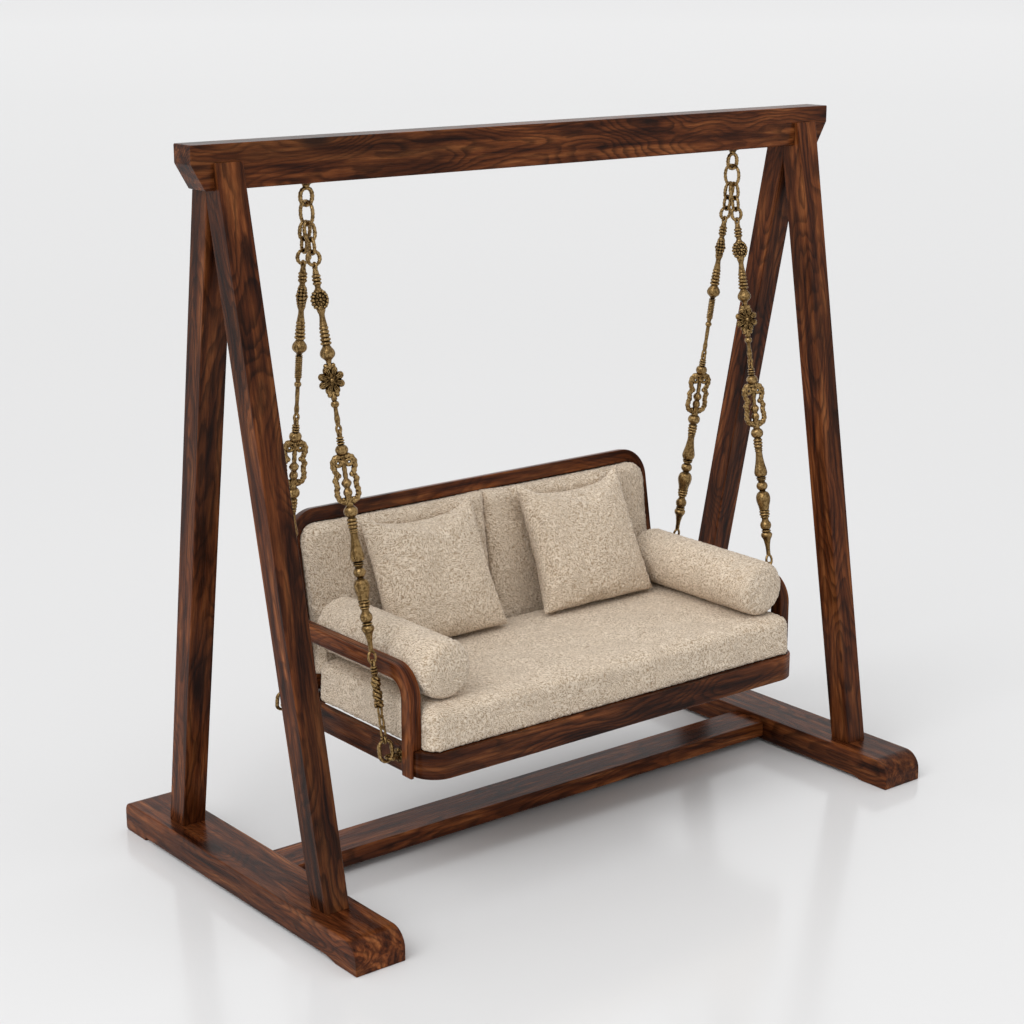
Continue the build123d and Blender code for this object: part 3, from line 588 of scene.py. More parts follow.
TURNED = Matrix.Rotation(pi / 2, 4, "Y")  # from the chain's face plane to its flank plane
FACING = {"front": 20, "rear": -48}  # how far a chain's ornaments hang turned outwards, degrees
CARRYING_RING = (54, 57.5)  # width and height of loops, to the middle of their wire
LONG_LINK = (29, 46.5)
SHORT_LINK = (22, 39.5)
ROUND_LINK = (35.5, 35.5)
HANGER_EYE = (34, 41)
HANGER_WIRE = 10
HOOK_WIDTH = 38
HOOK_WIRE = 6.75
EYE_REACH = 9.2  # middle of a cast eye inside its casting's end
EYE_RING = 6.4
EYE_WIRE = 3.5
ROPE_PITCH = 8.0
LOOP_STEP = 1.6  # between the points along a loop
BUD_STATION = 181
FLOWER_STATION = 378
SCROLL_STATIONS = (564, 681)
PLAIT_STATIONS = (1120, 1194)
PLAIT_STUDS = (1139, 1164, 1184)
PLAIT_STEPS = 72

seat_eye_low, seat_eye_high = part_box("seat_eyes")


def ring_bar(side):
    """Middle of the carrying ring's lower bar."""
    low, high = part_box(f"{side}_carrying_ring")
    return Vector(((low.x + high.x) / 2, 0, low.z + RING_WIRE * MM / 2))


def seat_bar(side, end):
    """Middle of the bar of the seat eye that the hook ring hangs on."""
    inset = SEAT_ROSE_RADIUS * MM
    return Vector((
        SIDES[side] * (seat_eye_high.x - SEAT_EYE_WIRE * MM / 2),
        seat_eye_low.y + inset if end == "front" else seat_eye_high.y - inset,
        (seat_eye_low.z + seat_eye_high.z) / 2,
    ))


def hung_chain(side, end):
    """A chain, with the matrix from its own millimetres to the row frame."""
    start = ring_bar(side) + Vector((0, ENDS[end] * CHAIN_SPREAD * MM, 0))
    down = (seat_bar(side, end) - start).normalized()
    across = (Vector((1, 0, 0)) - down * down.x).normalized()
    turn = Matrix((across, down, across.cross(down))).transposed().to_4x4()
    return Chain(side, end, Matrix.Translation(start) @ turn @ Matrix.Scale(MM, 4))


def span(chain, form, reach=0.0):
    """First and last station of a casting's solid, each moved inwards by the reach."""
    low, high = box_in(f"{chain.side}_{chain.end}_{form}", chain.matrix)
    return low.y + reach, high.y - reach


def wire_loop(bm, outline, wire, flank=False, swell=0.36):
    """Closed loop of twisted-looking cast wire, thicker along its sides than at its two bars."""
    points = spaced(outline, LOOP_STEP)
    first = min(p.y for p in points)
    last = max(p.y for p in points)
    radii = [wire / 2 * (1 + swell * sin(pi * (p.y - first) / (last - first))) for p in points]
    if flank:
        points = [TURNED @ p for p in points]
    tube(bm, points, radii, 12, closed=True, flutes=2, flute=0.09, pitch=ROPE_PITCH)


def cast_eye(bm, station, stem_side, half_width=EYE_RING, length=19, flank=False):
    """Eye at a casting's end: it hooks at the station and runs back towards its stem."""
    hook = station - stem_side * EYE_RING
    far = hook + stem_side * length
    outline = ellipse((0, (hook + far) / 2), half_width, (far - hook) / 2, 28)
    points = [TURNED @ Vector(p) if flank else Vector(p) for p in outline]
    tube(bm, points, EYE_WIRE, 10, closed=True)


def turned_outwards(bm, degrees, build, *stations):
    """Adds an ornament that hangs turned about the chain."""
    part = bmesh.new()
    build(part, *stations)
    part.transform(Matrix.Rotation(radians(degrees), 4, "Y"))
    join(bm, part)


def links(bm, chain):
    """Long link, short link in the flank plane and round link, each hung in the one before."""
    down = (chain.matrix.to_3x3() @ Vector((0, 1, 0))).normalized()
    first = -((RING_WIRE + LINK_WIRE) / 2 + GAP) / sqrt(1 - down.y**2)
    second = first + LONG_LINK[1] - LINK_WIRE - GAP
    third = second + SHORT_LINK[1] - LINK_WIRE - GAP
    wire_loop(bm, oval_loop(first, *LONG_LINK), LINK_WIRE)
    wire_loop(bm, oval_loop(second, *SHORT_LINK), LINK_WIRE, flank=True, swell=0.24)
    wire_loop(bm, oval_loop(third, *ROUND_LINK, 2.0), LINK_WIRE)


def studded_bud(bm, station):
    """Round bud: a daisy in a hollow on each face, and beads close together round its rim."""
    ellipsoid(bm, (0, station, 0), (17.5, 22, 11), segments=24, rings=16)
    for face in (-1, 1):
        ellipsoid(bm, (0, station, face * 11.5), (4.6, 4.6, 4.4))
        for turn in around(8):
            place = (9.2 * cos(turn), station + 10 * sin(turn), face * 9.6)
            ellipsoid(bm, place, (4.6, 3.0, 3.4), turn)
    rows = ((16, 0, 1.0, 4.9), (15, 6.8, 0.93, 4.3), (15, -6.8, 0.93, 4.3))
    for count, depth, lift, size in rows:
        for turn in around(count, 0.5 if depth else 0.0):
            place = (18.6 * lift * cos(turn), station + 23 * lift * sin(turn), depth)
            ellipsoid(bm, place, (size, size, size * 0.9), segments=10, rings=7)


def flower(bm, station):
    """Eight round ribbed petals about a boss, with a lobed cap above and below."""
    ellipsoid(bm, (0, station, 0), (25, 27, 6), segments=24, rings=12)
    for turn in around(8, 0.5):
        place = (22 * cos(turn), station + 24 * sin(turn), 0)
        ellipsoid(bm, place, (12.5, 10.2, 7.4), turn, 16, 10)
        for rib in (-1, 0, 1):
            spread = turn + rib * 0.2
            place = (20.5 * cos(spread), station + 22.5 * sin(spread), 0)
            ellipsoid(bm, place, (12.2, 2.4, 9.2), spread, 12, 8)
    ellipsoid(bm, (0, station, 0), (7.6, 7.6, 12.6), segments=16, rings=10)
    for cap in (-1, 1):
        for lobe in (-1, 0, 1):
            place = (lobe * 8.5, station + cap * (39 - 4.5 * abs(lobe)), 0)
            ellipsoid(bm, place, (6.8, 8.0, 6.2), -cap * lobe * 0.5, 12, 8)
        ellipsoid(bm, (0, station + cap * 31, 0), (9, 8, 5), segments=12, rings=8)


def rosette_rod(bm, chain):
    """Turned rod with a bud, then a flower on a front chain or a knurled length on a rear one."""
    start, finish = span(chain, "rosette_rod", EYE_REACH)
    upper = smooth([(3.5, start + 5), (5.2, start + 9), (6.6, start + 15), (7.2, 118)], 4)
    upper += beads((10.2, 10.6, 10.2), 119, 145, 7)
    upper += smooth([(7, 146), (6.2, 151), (8.5, 158), (6, 175)], 4)
    lathe(bm, fuller(upper))
    turned_outwards(bm, FACING[chain.end], studded_bud, BUD_STATION)
    lower = smooth([(6, 190), (9.5, 205), (8.2, 211), (6.4, 218), (7, 230), (9, 243)], 4)
    lower += beads((10.3, 10.9, 11.5, 12.1, 12.6), 245, 292, 8.2)
    urn = [(8.4, 293), (11, 298), (15.2, 305), (17, 313), (15, 320), (9.5, 326), (6.5, 330)]
    lower += smooth(urn, 5)
    if chain.end == "front":
        lathe(bm, fuller(lower) + [(6, 340)])
        turned_outwards(bm, FACING[chain.end], flower, FLOWER_STATION)
        tail = smooth([(6, 415), (6.8, 424), (5, 428)], 4) + ball(9.5, 437, 5)
        tail += smooth([(4.6, 447), (5.2, 462), (6.6, 474), (5.6, 483), (4.2, finish - 10)], 4)
    else:
        lathe(bm, fuller(lower) + [(6, 333)])
        knurled = [(8.4 + 0.9 * cos(tau * k / 3), 334 + 58 * k / 36) for k in range(37)]
        lathe(bm, knurled, 24, 8, 0.07)
        tail = smooth([(6.5, 391), (5.4, 400)], 4) + ball(8.2, 410, 5)
        tail += smooth([(4.8, 418), (5, 440), (4.4, 462), (6, 476), (4.2, finish - 10)], 4)
    lathe(bm, fuller(tail))
    cast_eye(bm, start, 1, flank=True)
    cast_eye(bm, finish, -1)


def open_scroll(bm, first, last):
    """Two thick roped side bars, curled at the top and knuckled at the waist, about a spindle."""
    height = last - first
    bar = (
        (2, 0.03), (11, 0.01), (20, 0.04), (26.5, 0.12), (27.5, 0.21), (24.5, 0.30),
        (21.5, 0.37), (22, 0.43), (26, 0.49), (25.5, 0.56), (24, 0.63), (26.5, 0.73),
        (26.5, 0.83), (21.5, 0.92), (12, 0.97), (2, 0.97),
    )
    for half in (-1, 1):
        line = smooth([(half * x, first + height * share, 0) for x, share in bar], 5)
        line = spaced(line, 1.4, closed=False)
        tube(bm, line, 7.0, 12, flutes=3, flute=0.12, pitch=12.0)
        curl_ring = ellipse((half * 14, first + 0.145 * height), half * 7.2, 7.2)
        tube(bm, curl_ring, 5.2, 10, closed=True, flutes=2, flute=0.1, pitch=9.0)
        ellipsoid(bm, (half * 16.5, first + 0.41 * height, 0), (6.8, 7.0, 6.2))
        ellipsoid(bm, (half * 29.0, first + 0.51 * height, 0), (6.0, 6.4, 6.2))
        ellipsoid(bm, (half * 13, first + 0.925 * height, 0), (7.5, 6.2, 6.6))

    def turned(steps, *pairs):
        return smooth([(radius, first + below) for radius, below in pairs], steps)

    spindle = turned(5, (8, 0), (6.4, 9), (8.4, 16), (5.8, 24), (6.4, 34))
    spindle += turned(5, (5.4, 40), (6.2, 48), (5.2, 56))
    spindle += turned(6, (6.5, 58), (12.6, 68), (7, 79))
    spindle += turned(5, (6.6, 81), (10.2, 87), (11, 94), (8.4, 100))
    spindle += smooth([(10.4, first + 107), (8, last + 2)], 4)
    lathe(bm, spindle, 24, 8, 0.06)


def scroll_baluster(bm, chain):
    """Open scroll under a beaded head, and a turned baluster below it."""
    start, finish = span(chain, "scroll_baluster", EYE_REACH)
    cast_eye(bm, start, 1, flank=True, length=17)
    head = [(4, start + 8)] + beads((8.6, 9.4, 9.0), 517, 537, 5.5) + ball(14.5, 550, 6)
    lathe(bm, fuller(head + [(7, 566)]))
    turned_outwards(bm, FACING["front"], open_scroll, *SCROLL_STATIONS)
    body = [(8, 679), (8.6, 686)] + ball(16, 703, 8.5)
    body += beads((11.8, 12.2, 11.4), 719, 745, 9)
    body += beads((10.4, 9.8), 746, 757, 8.4)
    body += smooth(
        [(8.6, 758), (9.4, 772), (12, 790), (15.4, 807), (16.6, 817), (14.5, 825), (11, 828)], 6,
    )
    body += beads((13.4, 12.4), 829, 839, 9.5)
    body += ball(14.4, 855, 8.5)
    body += [(7.5, 869), (8.5, 871)]
    body += smooth([
        (11, 872), (14.6, 876), (17.6, 884), (18.2, 893), (16.6, 903), (13.8, 914), (12.6, 924),
    ], 5)
    body += beads((13.4, 13.2), 925, 941, 10.5)
    body += beads((11.6,), 941, 948, 8.5)
    body += smooth([(8.4, 949), (9, 955), (13, 962), (14.2, 969), (12.4, 977), (9.4, 981)], 5)
    body += beads((12.2,), 982, 988, 9)
    body += smooth([
        (11, 989), (14.2, 994), (13.8, 1001), (9.6, 1010), (7.2, 1022), (5.6, 1036),
        (5.4, finish - 24),
    ], 5)
    lathe(bm, fuller(body), 28)
    cast_eye(bm, finish, -1, half_width=10.5, length=29)


def knot_drop(bm, chain):
    """Ribs, plaited knots and a row of eyelets."""
    start, finish = span(chain, "knot_drop", EYE_REACH)
    top, bottom = PLAIT_STATIONS
    cast_eye(bm, start, 1, half_width=6.0, length=16, flank=True)
    ribs = beads((9.4, 10.2, 9.6), 1092, 1114, 6)
    lathe(bm, [(4, start + 6)] + ribs + [(6, 1118), (5, 1128)], 20, 6, 0.05)
    # plaited knots: three strands that wind about the axis
    shares = [step / PLAIT_STEPS for step in range(PLAIT_STEPS + 1)]
    swells = [abs(sin(pi * share * 2.5)) for share in shares]
    for strand in range(3):
        line = []
        for share, swell in zip(shares, swells):
            turn = tau * (share * 2.2 + strand / 3)
            reach = 1.15 * (4.2 + 3.2 * swell)
            line.append((reach * cos(turn), top + (bottom - top) * share, reach * sin(turn)))
        tube(bm, line, [3.9 + swell for swell in swells], 10, flutes=2, flute=0.12, pitch=7.0)
    for station in PLAIT_STUDS:
        for turn in around(6):
            place = (9.6 * cos(turn), station, 9.6 * sin(turn))
            ellipsoid(bm, place, (3.6, 4.8, 3.6), segments=8, rings=6)
    # three eyelets in a row, then the eye for the hook ring
    pitch = (finish - 6 - bottom) / 3
    for eyelet in range(3):
        middle = bottom + pitch * (eyelet + 0.5)
        reach = 5.2 + 0.5 * eyelet
        outline = ellipse((0, middle), reach, pitch / 2)
        tube(bm, outline, 3.1, 10, closed=True, flutes=2, flute=0.08, pitch=6.0)
        for half in (-1, 1):
            place = (half * (reach + 0.5), middle + pitch / 2, 0)
            ellipsoid(bm, place, (3.6, 3.2, 3.6), segments=8, rings=6)
    cast_eye(bm, finish, -1, length=15, flank=True)


def hook_ring(bm, chain):
    """Long ring between the knot drop and the seat eye, thickest along its sides."""
    low, high = span(chain, "hook_ring")
    outline = rounded_loop(low + HOOK_WIRE / 2, HOOK_WIDTH, high - low - HOOK_WIRE, 18.5, 10)
    points = spaced(outline, LOOP_STEP)
    radii = [3.5 + 1.7 * (abs(p.x) / (HOOK_WIDTH / 2)) ** 2 for p in points]
    tube(bm, points, radii, 14, closed=True, flutes=3, flute=0.06, pitch=14.0)


def carrying_ring(side):
    """Ring in the hanger eye; both chains of its side hang on its lower bar."""
    bm = bmesh.new()
    wire_loop(bm, oval_loop(0, *CARRYING_RING, 2.2), RING_WIRE, swell=0.12)
    upright = Matrix.Rotation(pi / 2, 4, "Z") @ Matrix.Rotation(pi / 2, 4, "X")
    place = Matrix.Translation(ring_bar(side)) @ upright @ Matrix.Scale(MM, 4)
    return to_object(f"{side}_carrying_ring_brass", bm, brass, place)


def hanger_eyes():
    """Petalled rose under the beam, collar, eye and the shank inside the beam, on both sides."""
    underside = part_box("top_beam")[0].z / MM
    bm = bmesh.new()
    for side in SIDES:
        x = ring_bar(side).x / MM
        one = bmesh.new()
        rose = smooth([(19.5, 0), (20, 2), (17, 3.6), (13, 4.4), (11, 6), (9.5, 8), (8.4, 11)], 4)
        lathe(one, rose, 32, 8, 0.03)
        lathe(one, beads((8.6,), 8, 14, 6.5) + [(5.4, 17)], 20)
        wire_loop(one, oval_loop(15, *HANGER_EYE, 2.2), HANGER_WIRE, swell=0.1)
        lathe(one, [(6, -70), (6, 0)], 8)
        for vertex in one.verts:
            across, down, through = vertex.co
            vertex.co = Vector((x + across, -through, underside - down))
        join(bm, one)
    return to_object("hanger_eyes_brass", bm, brass, Matrix.Scale(MM, 4))


def seat_eyes():
    """Petalled rosette on the side rail, the eye that stands out of it and its shank, in brass
    darkened as painted shade.
    """
    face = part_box("right_side_rail")[1].x / MM
    bm = bmesh.new()
    for side in SIDES:
        for end in ENDS:
            bar = seat_bar(side, end) / MM
            one = bmesh.new()
            rose = smooth([(18.6, 0), (19, 1.6), (16, 3), (12.5, 3.4), (12, 5), (9, 6)], 4)
            lathe(one, rose, 32, 8, 0.03)
            for turn in around(8):
                place = (13.5 * cos(turn), 3.4, 13.5 * sin(turn))
                ellipsoid(one, place, (3.4, 2.2, 3.4), segments=8, rings=6)
            reach = abs(bar.x) - face
            eye = rounded_loop(SEAT_EYE_WIRE / 2, 24, reach - SEAT_EYE_WIRE / 2, 9)
            wire_loop(one, eye, SEAT_EYE_WIRE)
            lathe(one, [(4, -33), (4, 2)], 8)
            for vertex in one.verts:
                across, out, up = vertex.co
                vertex.co = Vector((SIDES[side] * (face + out), bar.y + across, bar.z + up))
            join(bm, one)
    # the seat eyes take the darkened brass: painted shade
    return to_object("seat_eyes_brass", bm, brass_in_painted_shade, Matrix.Scale(MM, 4))


for side in SIDES:
    for end in ENDS:
        chain = hung_chain(side, end)
        for build in (links, rosette_rod, scroll_baluster, knot_drop, hook_ring):
            name = f"{side}_{end}_{build.__name__}"
            bm = bmesh.new()
            build(bm, chain)
            piece = to_object(f"{name}_brass", bm, brass, chain.matrix)
            carried(sheltered(piece), f"chains_{side}", name)
for side in SIDES:
    carried(sheltered(carrying_ring(side)), f"ring_{side}", f"{side}_carrying_ring")
carried(sheltered(hanger_eyes()), "stand", "hanger_eyes")
carried(sheltered(seat_eyes()), "bench", "seat_eyes")


# ---- wood, in metres ----
ARRIS = 0.0012
ARM_BEND = 0.084
ARM_MIDDLE = 0.0635  # radius of the middle of the arm's bend
ARM_WIDTH = 0.0345
ARM_POST_DEPTH = 0.043
BACK_CORNER = 0.085
FRONT_CORNER = 0.072
LEG_TOP = 0.052  # from the swing's middle to a leg's outer face at its top
TIMBER_STEP = (0.83, 0.37, 0.19)  # from one piece's place in the timber to the next one's

arm_low, arm_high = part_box("right_arm")
back_low, back_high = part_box("backrest_frame")
front_low, front_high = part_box("front_rail")
leg_low, leg_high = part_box("left_front_leg")


def bent(u, v, centre_u, centre_v, radius):
    """How far along a bent piece a point is, and how far from the bend's centre.
    The piece runs up V, round the bend and then along U."""
    if v < centre_v:
        return v - centre_v, centre_u - u
    if u > centre_u:
        return pi / 2 * radius + u - centre_u, v - centre_v
    return atan2(v - centre_v, centre_u - u) * radius, hypot(u - centre_u, v - centre_v)


def bent_twice(x, v, half_width, top, corner):
    """The same for a piece bent at both ends, where it counts from the piece's middle."""
    along, out = bent(-abs(x), v, corner - half_width, top - corner, corner)
    middle = pi / 2 * corner + half_width - corner
    return (along - middle) * (1 if x > 0 else -1), out


def arm_grain(p):
    along, out = bent(p.y, p.z, arm_low.y + ARM_BEND, arm_high.z - ARM_BEND, ARM_MIDDLE)
    return along, out, p.x


def back_grain(p):
    up = (p.z - back_low.z) / cos(BACK_RECLINE)
    top = (back_high.z - back_low.z) / cos(BACK_RECLINE)
    return *bent_twice(p.x, up, back_high.x, top, BACK_CORNER), p.y


def front_grain(p):
    return *bent_twice(p.x, -p.y, front_high.x, -front_low.y, FRONT_CORNER), p.z


def leg_grain(end):
    slope = abs(leg_low.y + LEG_TOP) / (leg_high.z - leg_low.z)

    def grain(p):
        return p.z, p.y + ENDS[end] * slope * p.z, p.x

    return grain


def along_x(p):
    return p.x, p.y, p.z


def along_y(p):
    return p.y, p.x, p.z


def give_grain(piece, grain, seed):
    """Stores each vertex's place in the timber: along the grain and twice across it."""
    values = piece.data.attributes.new("grain", "FLOAT_VECTOR", "POINT")
    offset = Vector([step * seed for step in TIMBER_STEP])
    for vertex, value in zip(piece.data.vertices, values.data):
        value.vector = Vector(grain(vertex.co)) + offset


def bevelled(bm, edges, width, steps, clamp=False):
    bmesh.ops.bevel(
        bm, geom=edges, offset=width, offset_type="OFFSET", segments=steps, profile=0.5,
        affect="EDGES", clamp_overlap=clamp,
    )


def eased(name, material, width, grain, seed, body):
    """A wooden CAD piece with its arrises rounded over. The new piece stands for the node."""
    bm = bmesh.new()
    bm.from_mesh(nodes[name].data)
    bmesh.ops.remove_doubles(bm, verts=bm.verts, dist=1e-5)
    bmesh.ops.dissolve_limit(bm, angle_limit=radians(0.5), verts=bm.verts, edges=bm.edges)
    sharp = [edge for edge in bm.edges if edge.calc_face_angle(0) > radians(30)]
    bevelled(bm, sharp, width, 3, clamp=True)
    bmesh.ops.triangulate(bm, faces=[face for face in bm.faces if len(face.verts) > 4])
    piece = to_object(f"{name}_wood", bm, material, crease=46)
    give_grain(piece, grain, seed)
    piece.modifiers.new("even_shading", "WEIGHTED_NORMAL").keep_sharp = True
    return carried(piece, body, name)


WOOD = (  # node, grain and width of its eased arrises
    ("top_beam", along_x, ARRIS),
    *((f"{side}_{end}_leg", leg_grain(end), ARRIS) for side in SIDES for end in ENDS),
    *((f"{side}_foot", along_y, 0.003) for side in SIDES),
    ("stretcher", along_x, ARRIS),
    ("front_rail", front_grain, 0.003),
    *((f"{side}_side_rail", along_y, ARRIS) for side in SIDES),
    ("rear_rail", along_x, ARRIS),
    *((f"{side}_arm", arm_grain, 0.0035) for side in SIDES),
    ("backrest_frame", back_grain, 0.004),
    ("backrest_cross_rail", along_x, 0.001),
    ("backrest_panel", along_x, 0.0006),
    ("seat_slats", along_y, 0.0015),
    ("slat_battens", along_x, 0.001),
    ("leg_splines", along_y, 0.0005),
    ("beam_patches", along_x, 0.0002),
)
BASE = ("left_foot", "right_foot", "stretcher")

for seed, (name, grain, width) in enumerate(WOOD, 1):
    body = nodes[name]["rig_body"]
    stands = body == "stand"
    material = wood_base if name in BASE else wood_stand if stands else wood_bench
    eased(name, material, width, grain, seed, body)

for name in ("hanger_plates", "hanger_nuts", "seat_eye_nuts"):
    surfaced(nodes[name].data, steel)


# ---- upholstery, in metres ----
CUSHION_PRESSURE = 4
PILLOW_PRESSURE = 3
CLOTH = {
    "use_pressure": True,
    "quality": 5,
    "tension_stiffness": 25,
    "compression_stiffness": 25,
    "shear_stiffness": 10,
    "bending_stiffness": 0.8,
}
PILE = 0.0021  # height of the boucle's curls
INSET = 0.010  # how far a cushion's block stays inside its box before it swells
REST_EDGE = 0.022  # the seam round a flat underside is pressed down over this height
REST_SPREAD = 0.003  # and spread out this far
BULGE = 0.006  # how far a bolster bulges past its solid
BOLSTER_EDGE = 0.024
SIDE_PULL = 0.075  # how far a pillow's sides are pulled in between its corners
TOP_PULL = 0.17
BOTTOM_PULL = -0.01
PILLOW_STEPS = 44
STAY = Matrix.Identity(4)
noise.seed_set(1)  # or noise_vector follows the clock, and the curls differ at each run


def evaluated(piece):
    return piece.evaluated_get(bpy.context.evaluated_depsgraph_get())


def simulate(piece, pressure, cap, frames=20):
    """Inflates the closed mesh as cloth, with no point moving further than the cap."""
    start = [vertex.co.copy() for vertex in piece.data.vertices]
    cloth = piece.modifiers.new("filling", "CLOTH")
    for key, value in CLOTH.items():
        setattr(cloth.settings, key, value)
    cloth.settings.uniform_pressure_force = pressure
    cloth.settings.effector_weights.gravity = 0
    cloth.collision_settings.use_collision = False
    cloth.point_cache.frame_start = 1
    cloth.point_cache.frame_end = frames
    for step in range(1, frames + 1):
        scene.frame_set(step)
    swollen = [vertex.co.copy() for vertex in evaluated(piece).data.vertices]
    piece.modifiers.remove(cloth)
    for vertex, before, after in zip(piece.data.vertices, start, swollen):
        move = after - before
        vertex.co = before + move * min(1.0, cap / max(move.length, 1e-9))
    piece.data.update()
    scene.frame_set(1)


def remade(piece, kind, **settings):
    """Runs the piece's mesh through one modifier."""
    modifier = piece.modifiers.new(kind.lower(), kind)
    for key, value in settings.items():
        setattr(modifier, key, value)
    made = bpy.data.meshes.new_from_object(evaluated(piece))
    piece.modifiers.clear()
    old = piece.data
    piece.data = made
    bpy.data.meshes.remove(old)


def fitted(piece, low, high):
    """Scales the piece along its own axes so that it fills the box from low to high."""
    for axis in range(3):
        places = [vertex.co[axis] for vertex in piece.data.vertices]
        least = min(places)
        scale = (high[axis] - low[axis]) / (max(places) - least)
        for vertex in piece.data.vertices:
            vertex.co[axis] = low[axis] + (vertex.co[axis] - least) * scale


def curl(place):
    """Height of the boucle's curls at a point, as a share of the pile."""
    drift = noise.noise_vector(place * 9) * 0.02
    fine = noise.noise((place + drift) * 135)
    return fine + 0.5 * noise.noise((place - drift) * 260)


def dressed(piece, refinements, matrix, name):
    """Last steps of every cushion: finer mesh, curls and its place on the bench."""
    for _ in range(refinements):
        remade(piece, "SUBSURF", levels=1, render_levels=1)
    piece.data.update()
    moves = [vertex.normal * PILE * curl(vertex.co) for vertex in piece.data.vertices]
    for vertex, move in zip(piece.data.vertices, moves):
        vertex.co += move
    piece.data.transform(matrix)
    piece.data.update()
    for polygon in piece.data.polygons:
        polygon.use_smooth = True
    carried(piece, "bench", name)


def rounded_block(low, high, corner, upper_edge, lower_edge, round_side=0, round_corner=0.0):
    """Closed block with its upright corners rounded and its upper and lower edges eased.
    With round_side, the corner furthest to that side and in +Y is rounder."""
    bm = bmesh.new()
    size = Vector(high) - Vector(low)
    middle = (Vector(high) + Vector(low)) / 2
    place = Matrix.Translation(middle) @ Matrix.Diagonal((*size, 1))
    bmesh.ops.create_cube(bm, size=1, matrix=place)

    def upright(edge):
        return abs(edge.verts[0].co.z - edge.verts[1].co.z) > size.z / 2

    def square(edge):
        return edge.calc_face_angle(0) > radians(60)

    def outermost(edge):
        return round_side * edge.verts[0].co.x + edge.verts[0].co.y

    if round_side:
        bevelled(bm, [max(filter(upright, bm.edges), key=outermost)], round_corner, 10)
    bevelled(bm, [edge for edge in bm.edges if upright(edge) and square(edge)], corner, 5)
    for width, height in ((upper_edge, high[2]), (lower_edge, low[2])):
        rim = [
            edge for edge in bm.edges
            if square(edge) and all(abs(vertex.co.z - height) < 1e-5 for vertex in edge.verts)
        ]
        bevelled(bm, rim, width, 5)
    return bm


def stuffed(name, bm, low, high, voxel, cap, matrix, rests=None):
    """Even mesh, swelling, flat rest and fit of a cushion, pad or bolster, and its last steps."""
    piece = to_object(f"{name}_boucle", bm, boucle)
    remade(piece, "REMESH", mode="VOXEL", voxel_size=voxel, use_smooth_shade=True)
    simulate(piece, CUSHION_PRESSURE, cap)
    if rests is not None:
        for vertex in piece.data.vertices:
            above = max(vertex.co.z - rests, 0)
            vertex.co.z = rests + above * min(1, above / REST_EDGE)
            spread = 2 * REST_SPREAD * max(0, 1 - above / (2 * REST_EDGE))
            for axis in (0, 1):
                width = high[axis] - low[axis]
                from_middle = vertex.co[axis] - (low[axis] + high[axis]) / 2
                vertex.co[axis] += from_middle * spread / width
    fitted(piece, low, high)
    dressed(piece, 1, matrix, name)
    return piece


def seat_cushion():
    """It overhangs the side rails by a seam's width, and the arm posts dent it."""
    low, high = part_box("seat_cushion")
    low, high = low + Vector((-0.005, 0.002, 0.0006)), high - Vector((-0.005, 0.002, 0.001))
    inset = Vector((0.006, 0.006, INSET))
    block = rounded_block(low + inset, high - inset, 0.030, 0.022, 0.003)
    piece = stuffed("seat_cushion", block, low, high, 0.008, 0.007, STAY, low.z + INSET)
    post = arm_high.x - ARM_WIDTH  # inner face of the arm posts
    for vertex in piece.data.vertices:
        if arm_low.y - 0.002 < vertex.co.y < arm_low.y + ARM_POST_DEPTH:
            vertex.co.x = max(-post, min(post, vertex.co.x))


def leaning(origin, recline):
    """Frame that leans back: X across, Y up the slope, Z out to the front."""
    return Matrix.Translation(origin) @ Matrix.Rotation(pi / 2 - recline, 4, "X")


def back_pad(side):
    """Flat pad in the backrest; its outer upper corner follows the frame's inner corner."""
    name = f"{side}_back_pad"
    matrix = leaning(Vector((0, back_low.y, back_low.z)), BACK_RECLINE)
    low, high = box_in(name, matrix)
    low -= Vector((0.002, 0.002, 0))
    high += Vector((0.002, 0.002, 0))
    inset = Vector((INSET, INSET, 0.006))
    block = rounded_block(low + inset, high - inset, 0.010, 0.008, 0.004, SIDES[side], 0.050)
    stuffed(name, block, low, high, 0.006, 0.012, matrix, low.z + inset.z)


def bolster(side):
    """Round bolster with eased ends, which bulges upwards and inwards past its solid."""
    low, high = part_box(f"{side}_bolster")
    high.z += BULGE
    if side == "left":
        high.x += BULGE
    else:
        low.x -= BULGE
    radius = (high.z - low.z) / 2
    end = -(high.y - low.y) / 2
    profile = [(0.004, end + 0.006)]
    for turn in (pi / 2 * k / 6 for k in range(7)):
        profile.append((
            radius - BOLSTER_EDGE - INSET + BOLSTER_EDGE * sin(turn),
            end + INSET + BOLSTER_EDGE * (1 - cos(turn)),
        ))
    profile += [(r, -s) for r, s in reversed(profile)]
    bm = bmesh.new()
    lathe(bm, profile, 36)
    bm.transform(Matrix.Translation((low + high) / 2))
    stuffed(f"{side}_bolster", bm, low, high, 0.006, 0.012, STAY)


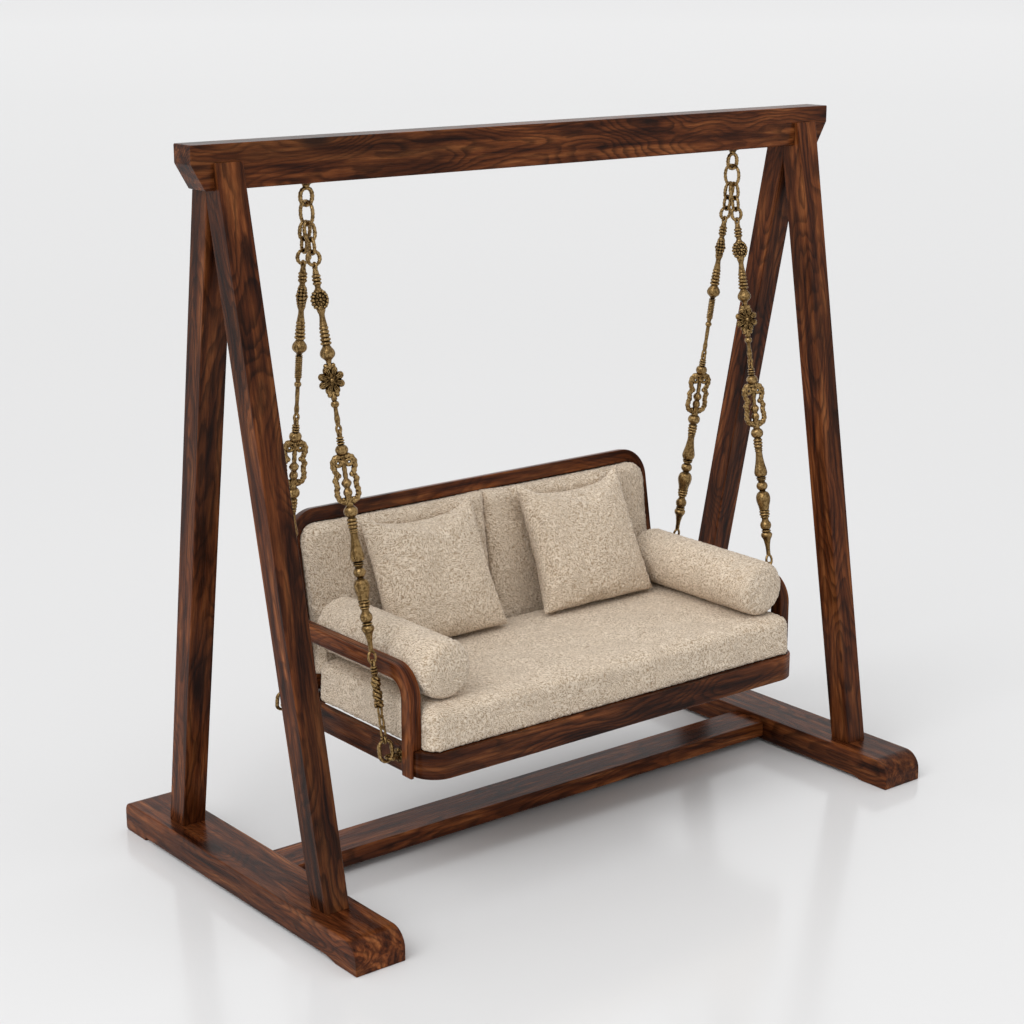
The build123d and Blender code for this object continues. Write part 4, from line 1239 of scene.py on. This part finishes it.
def pillow(side):
    """Square scatter pillow: two panels sewn at the rim, sides pulled in between its corners."""
    name = f"{side}_pillow"
    low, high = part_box(name)
    matrix = leaning((low + high) / 2, PILLOW_LEAN)
    low, high = box_in(name, matrix)
    half_width, half_height, depth = ((high[k] - low[k]) / 2 for k in range(3))
    ticks = [2 * step / PILLOW_STEPS - 1 for step in range(PILLOW_STEPS + 1)]
    bm = bmesh.new()
    panels = []
    for face in (-1, 1):
        rows = []
        for i, u in enumerate(ticks):
            row = []
            for j, v in enumerate(ticks):
                if face > 0 and (i in (0, PILLOW_STEPS) or j in (0, PILLOW_STEPS)):
                    row.append(panels[0][i][j])
                    continue
                pull_u = 1 - SIDE_PULL * (1 - v * v) * abs(u) ** 3
                pull_v = 1 - (TOP_PULL if v > 0 else BOTTOM_PULL) * (1 - u * u) * abs(v) ** 3
                swell = (1 - u * u) ** 0.42 * (1 - v * v) ** (0.60 if v > 0 else 0.38)
                row.append(bm.verts.new((
                    half_width * u * pull_u, half_height * v * pull_v, face * depth * 0.80 * swell,
                )))
            rows.append(row)
        panels.append(rows)
        for row, following in zip(rows, rows[1:]):
            for j in range(PILLOW_STEPS):
                bm.faces.new((row[j], following[j], following[j + 1], row[j + 1]))
    bmesh.ops.recalc_face_normals(bm, faces=bm.faces)
    piece = to_object(f"{name}_boucle", bm, boucle, crease=200)
    simulate(piece, PILLOW_PRESSURE, 0.016)
    margin = Vector((0.001, 0.001, 0.001))
    fitted(piece, low + margin, high - margin)
    dressed(piece, 2, matrix, name)


seat_cushion()
for side in SIDES:
    back_pad(side)
    bolster(side)
    pillow(side)


# ---- studio ----
SUN_DIRECTION = Vector((0.62, 0.18, -0.76))
SOFTBOX_POWER = 30
SOFTBOXES = (  # name, place, the height over the middle it points at, and its two sides
    ("side_softbox", (-4.6, -1.6, 3.2), 1.0, (2.4, 3.2)),
    ("top_softbox", (0.4, -2.4, 5.0), 0.8, (3.2, 2.4)),
)


def aimed(made, direction):
    """Puts a lamp in the scene, turned to shine in the direction."""
    made.rotation_euler = direction.to_track_quat("-Z", "Y").to_euler()
    scene.collection.objects.link(made)


def studio():
    """Polished floor up to the horizon, a soft sky that is stronger on the left, and the lamps."""
    bpy.ops.mesh.primitive_plane_add(size=600)
    floor = bpy.context.object
    floor.name = "floor"
    floor.data.materials.append(floor_material())

    world = bpy.data.worlds.new("studio")
    scene.world = world
    world.use_nodes = True
    tree = world.node_tree
    axes = node(tree, "SeparateXYZ", Vector=node(tree, "TexCoord").outputs["Generated"]).outputs
    leftward = math(tree, "MAXIMUM", math(tree, "MULTIPLY", axes["X"], -1.0), 0.0)
    sky = fed(
        tree, tree.nodes["Background"],
        Color=ramp(tree, axes["Z"], ((0.0, 0.60), (0.25, 0.64), (1.0, 0.72))),
        Strength=math(tree, "ADD", math(tree, "MULTIPLY", leftward, 0.55), 1.0),
    )
    backdrop = node(tree, "Background", Color=(0.85, 0.85, 0.855, 1), Strength=1.0)
    rays = node(tree, "LightPath").outputs
    shown = math(tree, "MAXIMUM", rays["Is Camera Ray"], rays["Is Glossy Ray"])
    choice = node(tree, "MixShader", Fac=shown)
    feed(tree, choice.inputs[1], sky.outputs[0])
    feed(tree, choice.inputs[2], backdrop.outputs[0])
    fed(tree, tree.nodes["World Output"], Surface=choice.outputs[0])

    sun = bpy.data.lights.new("key", "SUN")
    sun.energy = 1.0
    sun.angle = radians(48)
    aimed(bpy.data.objects.new("key", sun), SUN_DIRECTION)

    for name, place, height, sides in SOFTBOXES:
        panel = bpy.data.lights.new(name, "AREA")
        panel.shape = "RECTANGLE"
        panel.size, panel.size_y = sides
        panel.energy = SOFTBOX_POWER
        lamp = bpy.data.objects.new(name, panel)
        lamp.location = place
        lamp.visible_glossy = False  # the polished floor would show it as a white patch
        aimed(lamp, Vector((0, 0, height)) - Vector(place))


def camera():
    lens = bpy.data.cameras.new("camera")
    lens.sensor_width = SENSOR
    lens.lens = FOCAL_PIXELS / IMAGE_SIDE * SENSOR
    lens.clip_end = 1000
    made = bpy.data.objects.new("camera", lens)
    made.location = CAMERA_PLACE
    made.rotation_euler = Euler((radians(90 + CAMERA_PITCH), 0, radians(CAMERA_YAW)))
    scene.collection.objects.link(made)
    scene.camera = made


studio()
camera()
scene.view_settings.view_transform = "Standard"
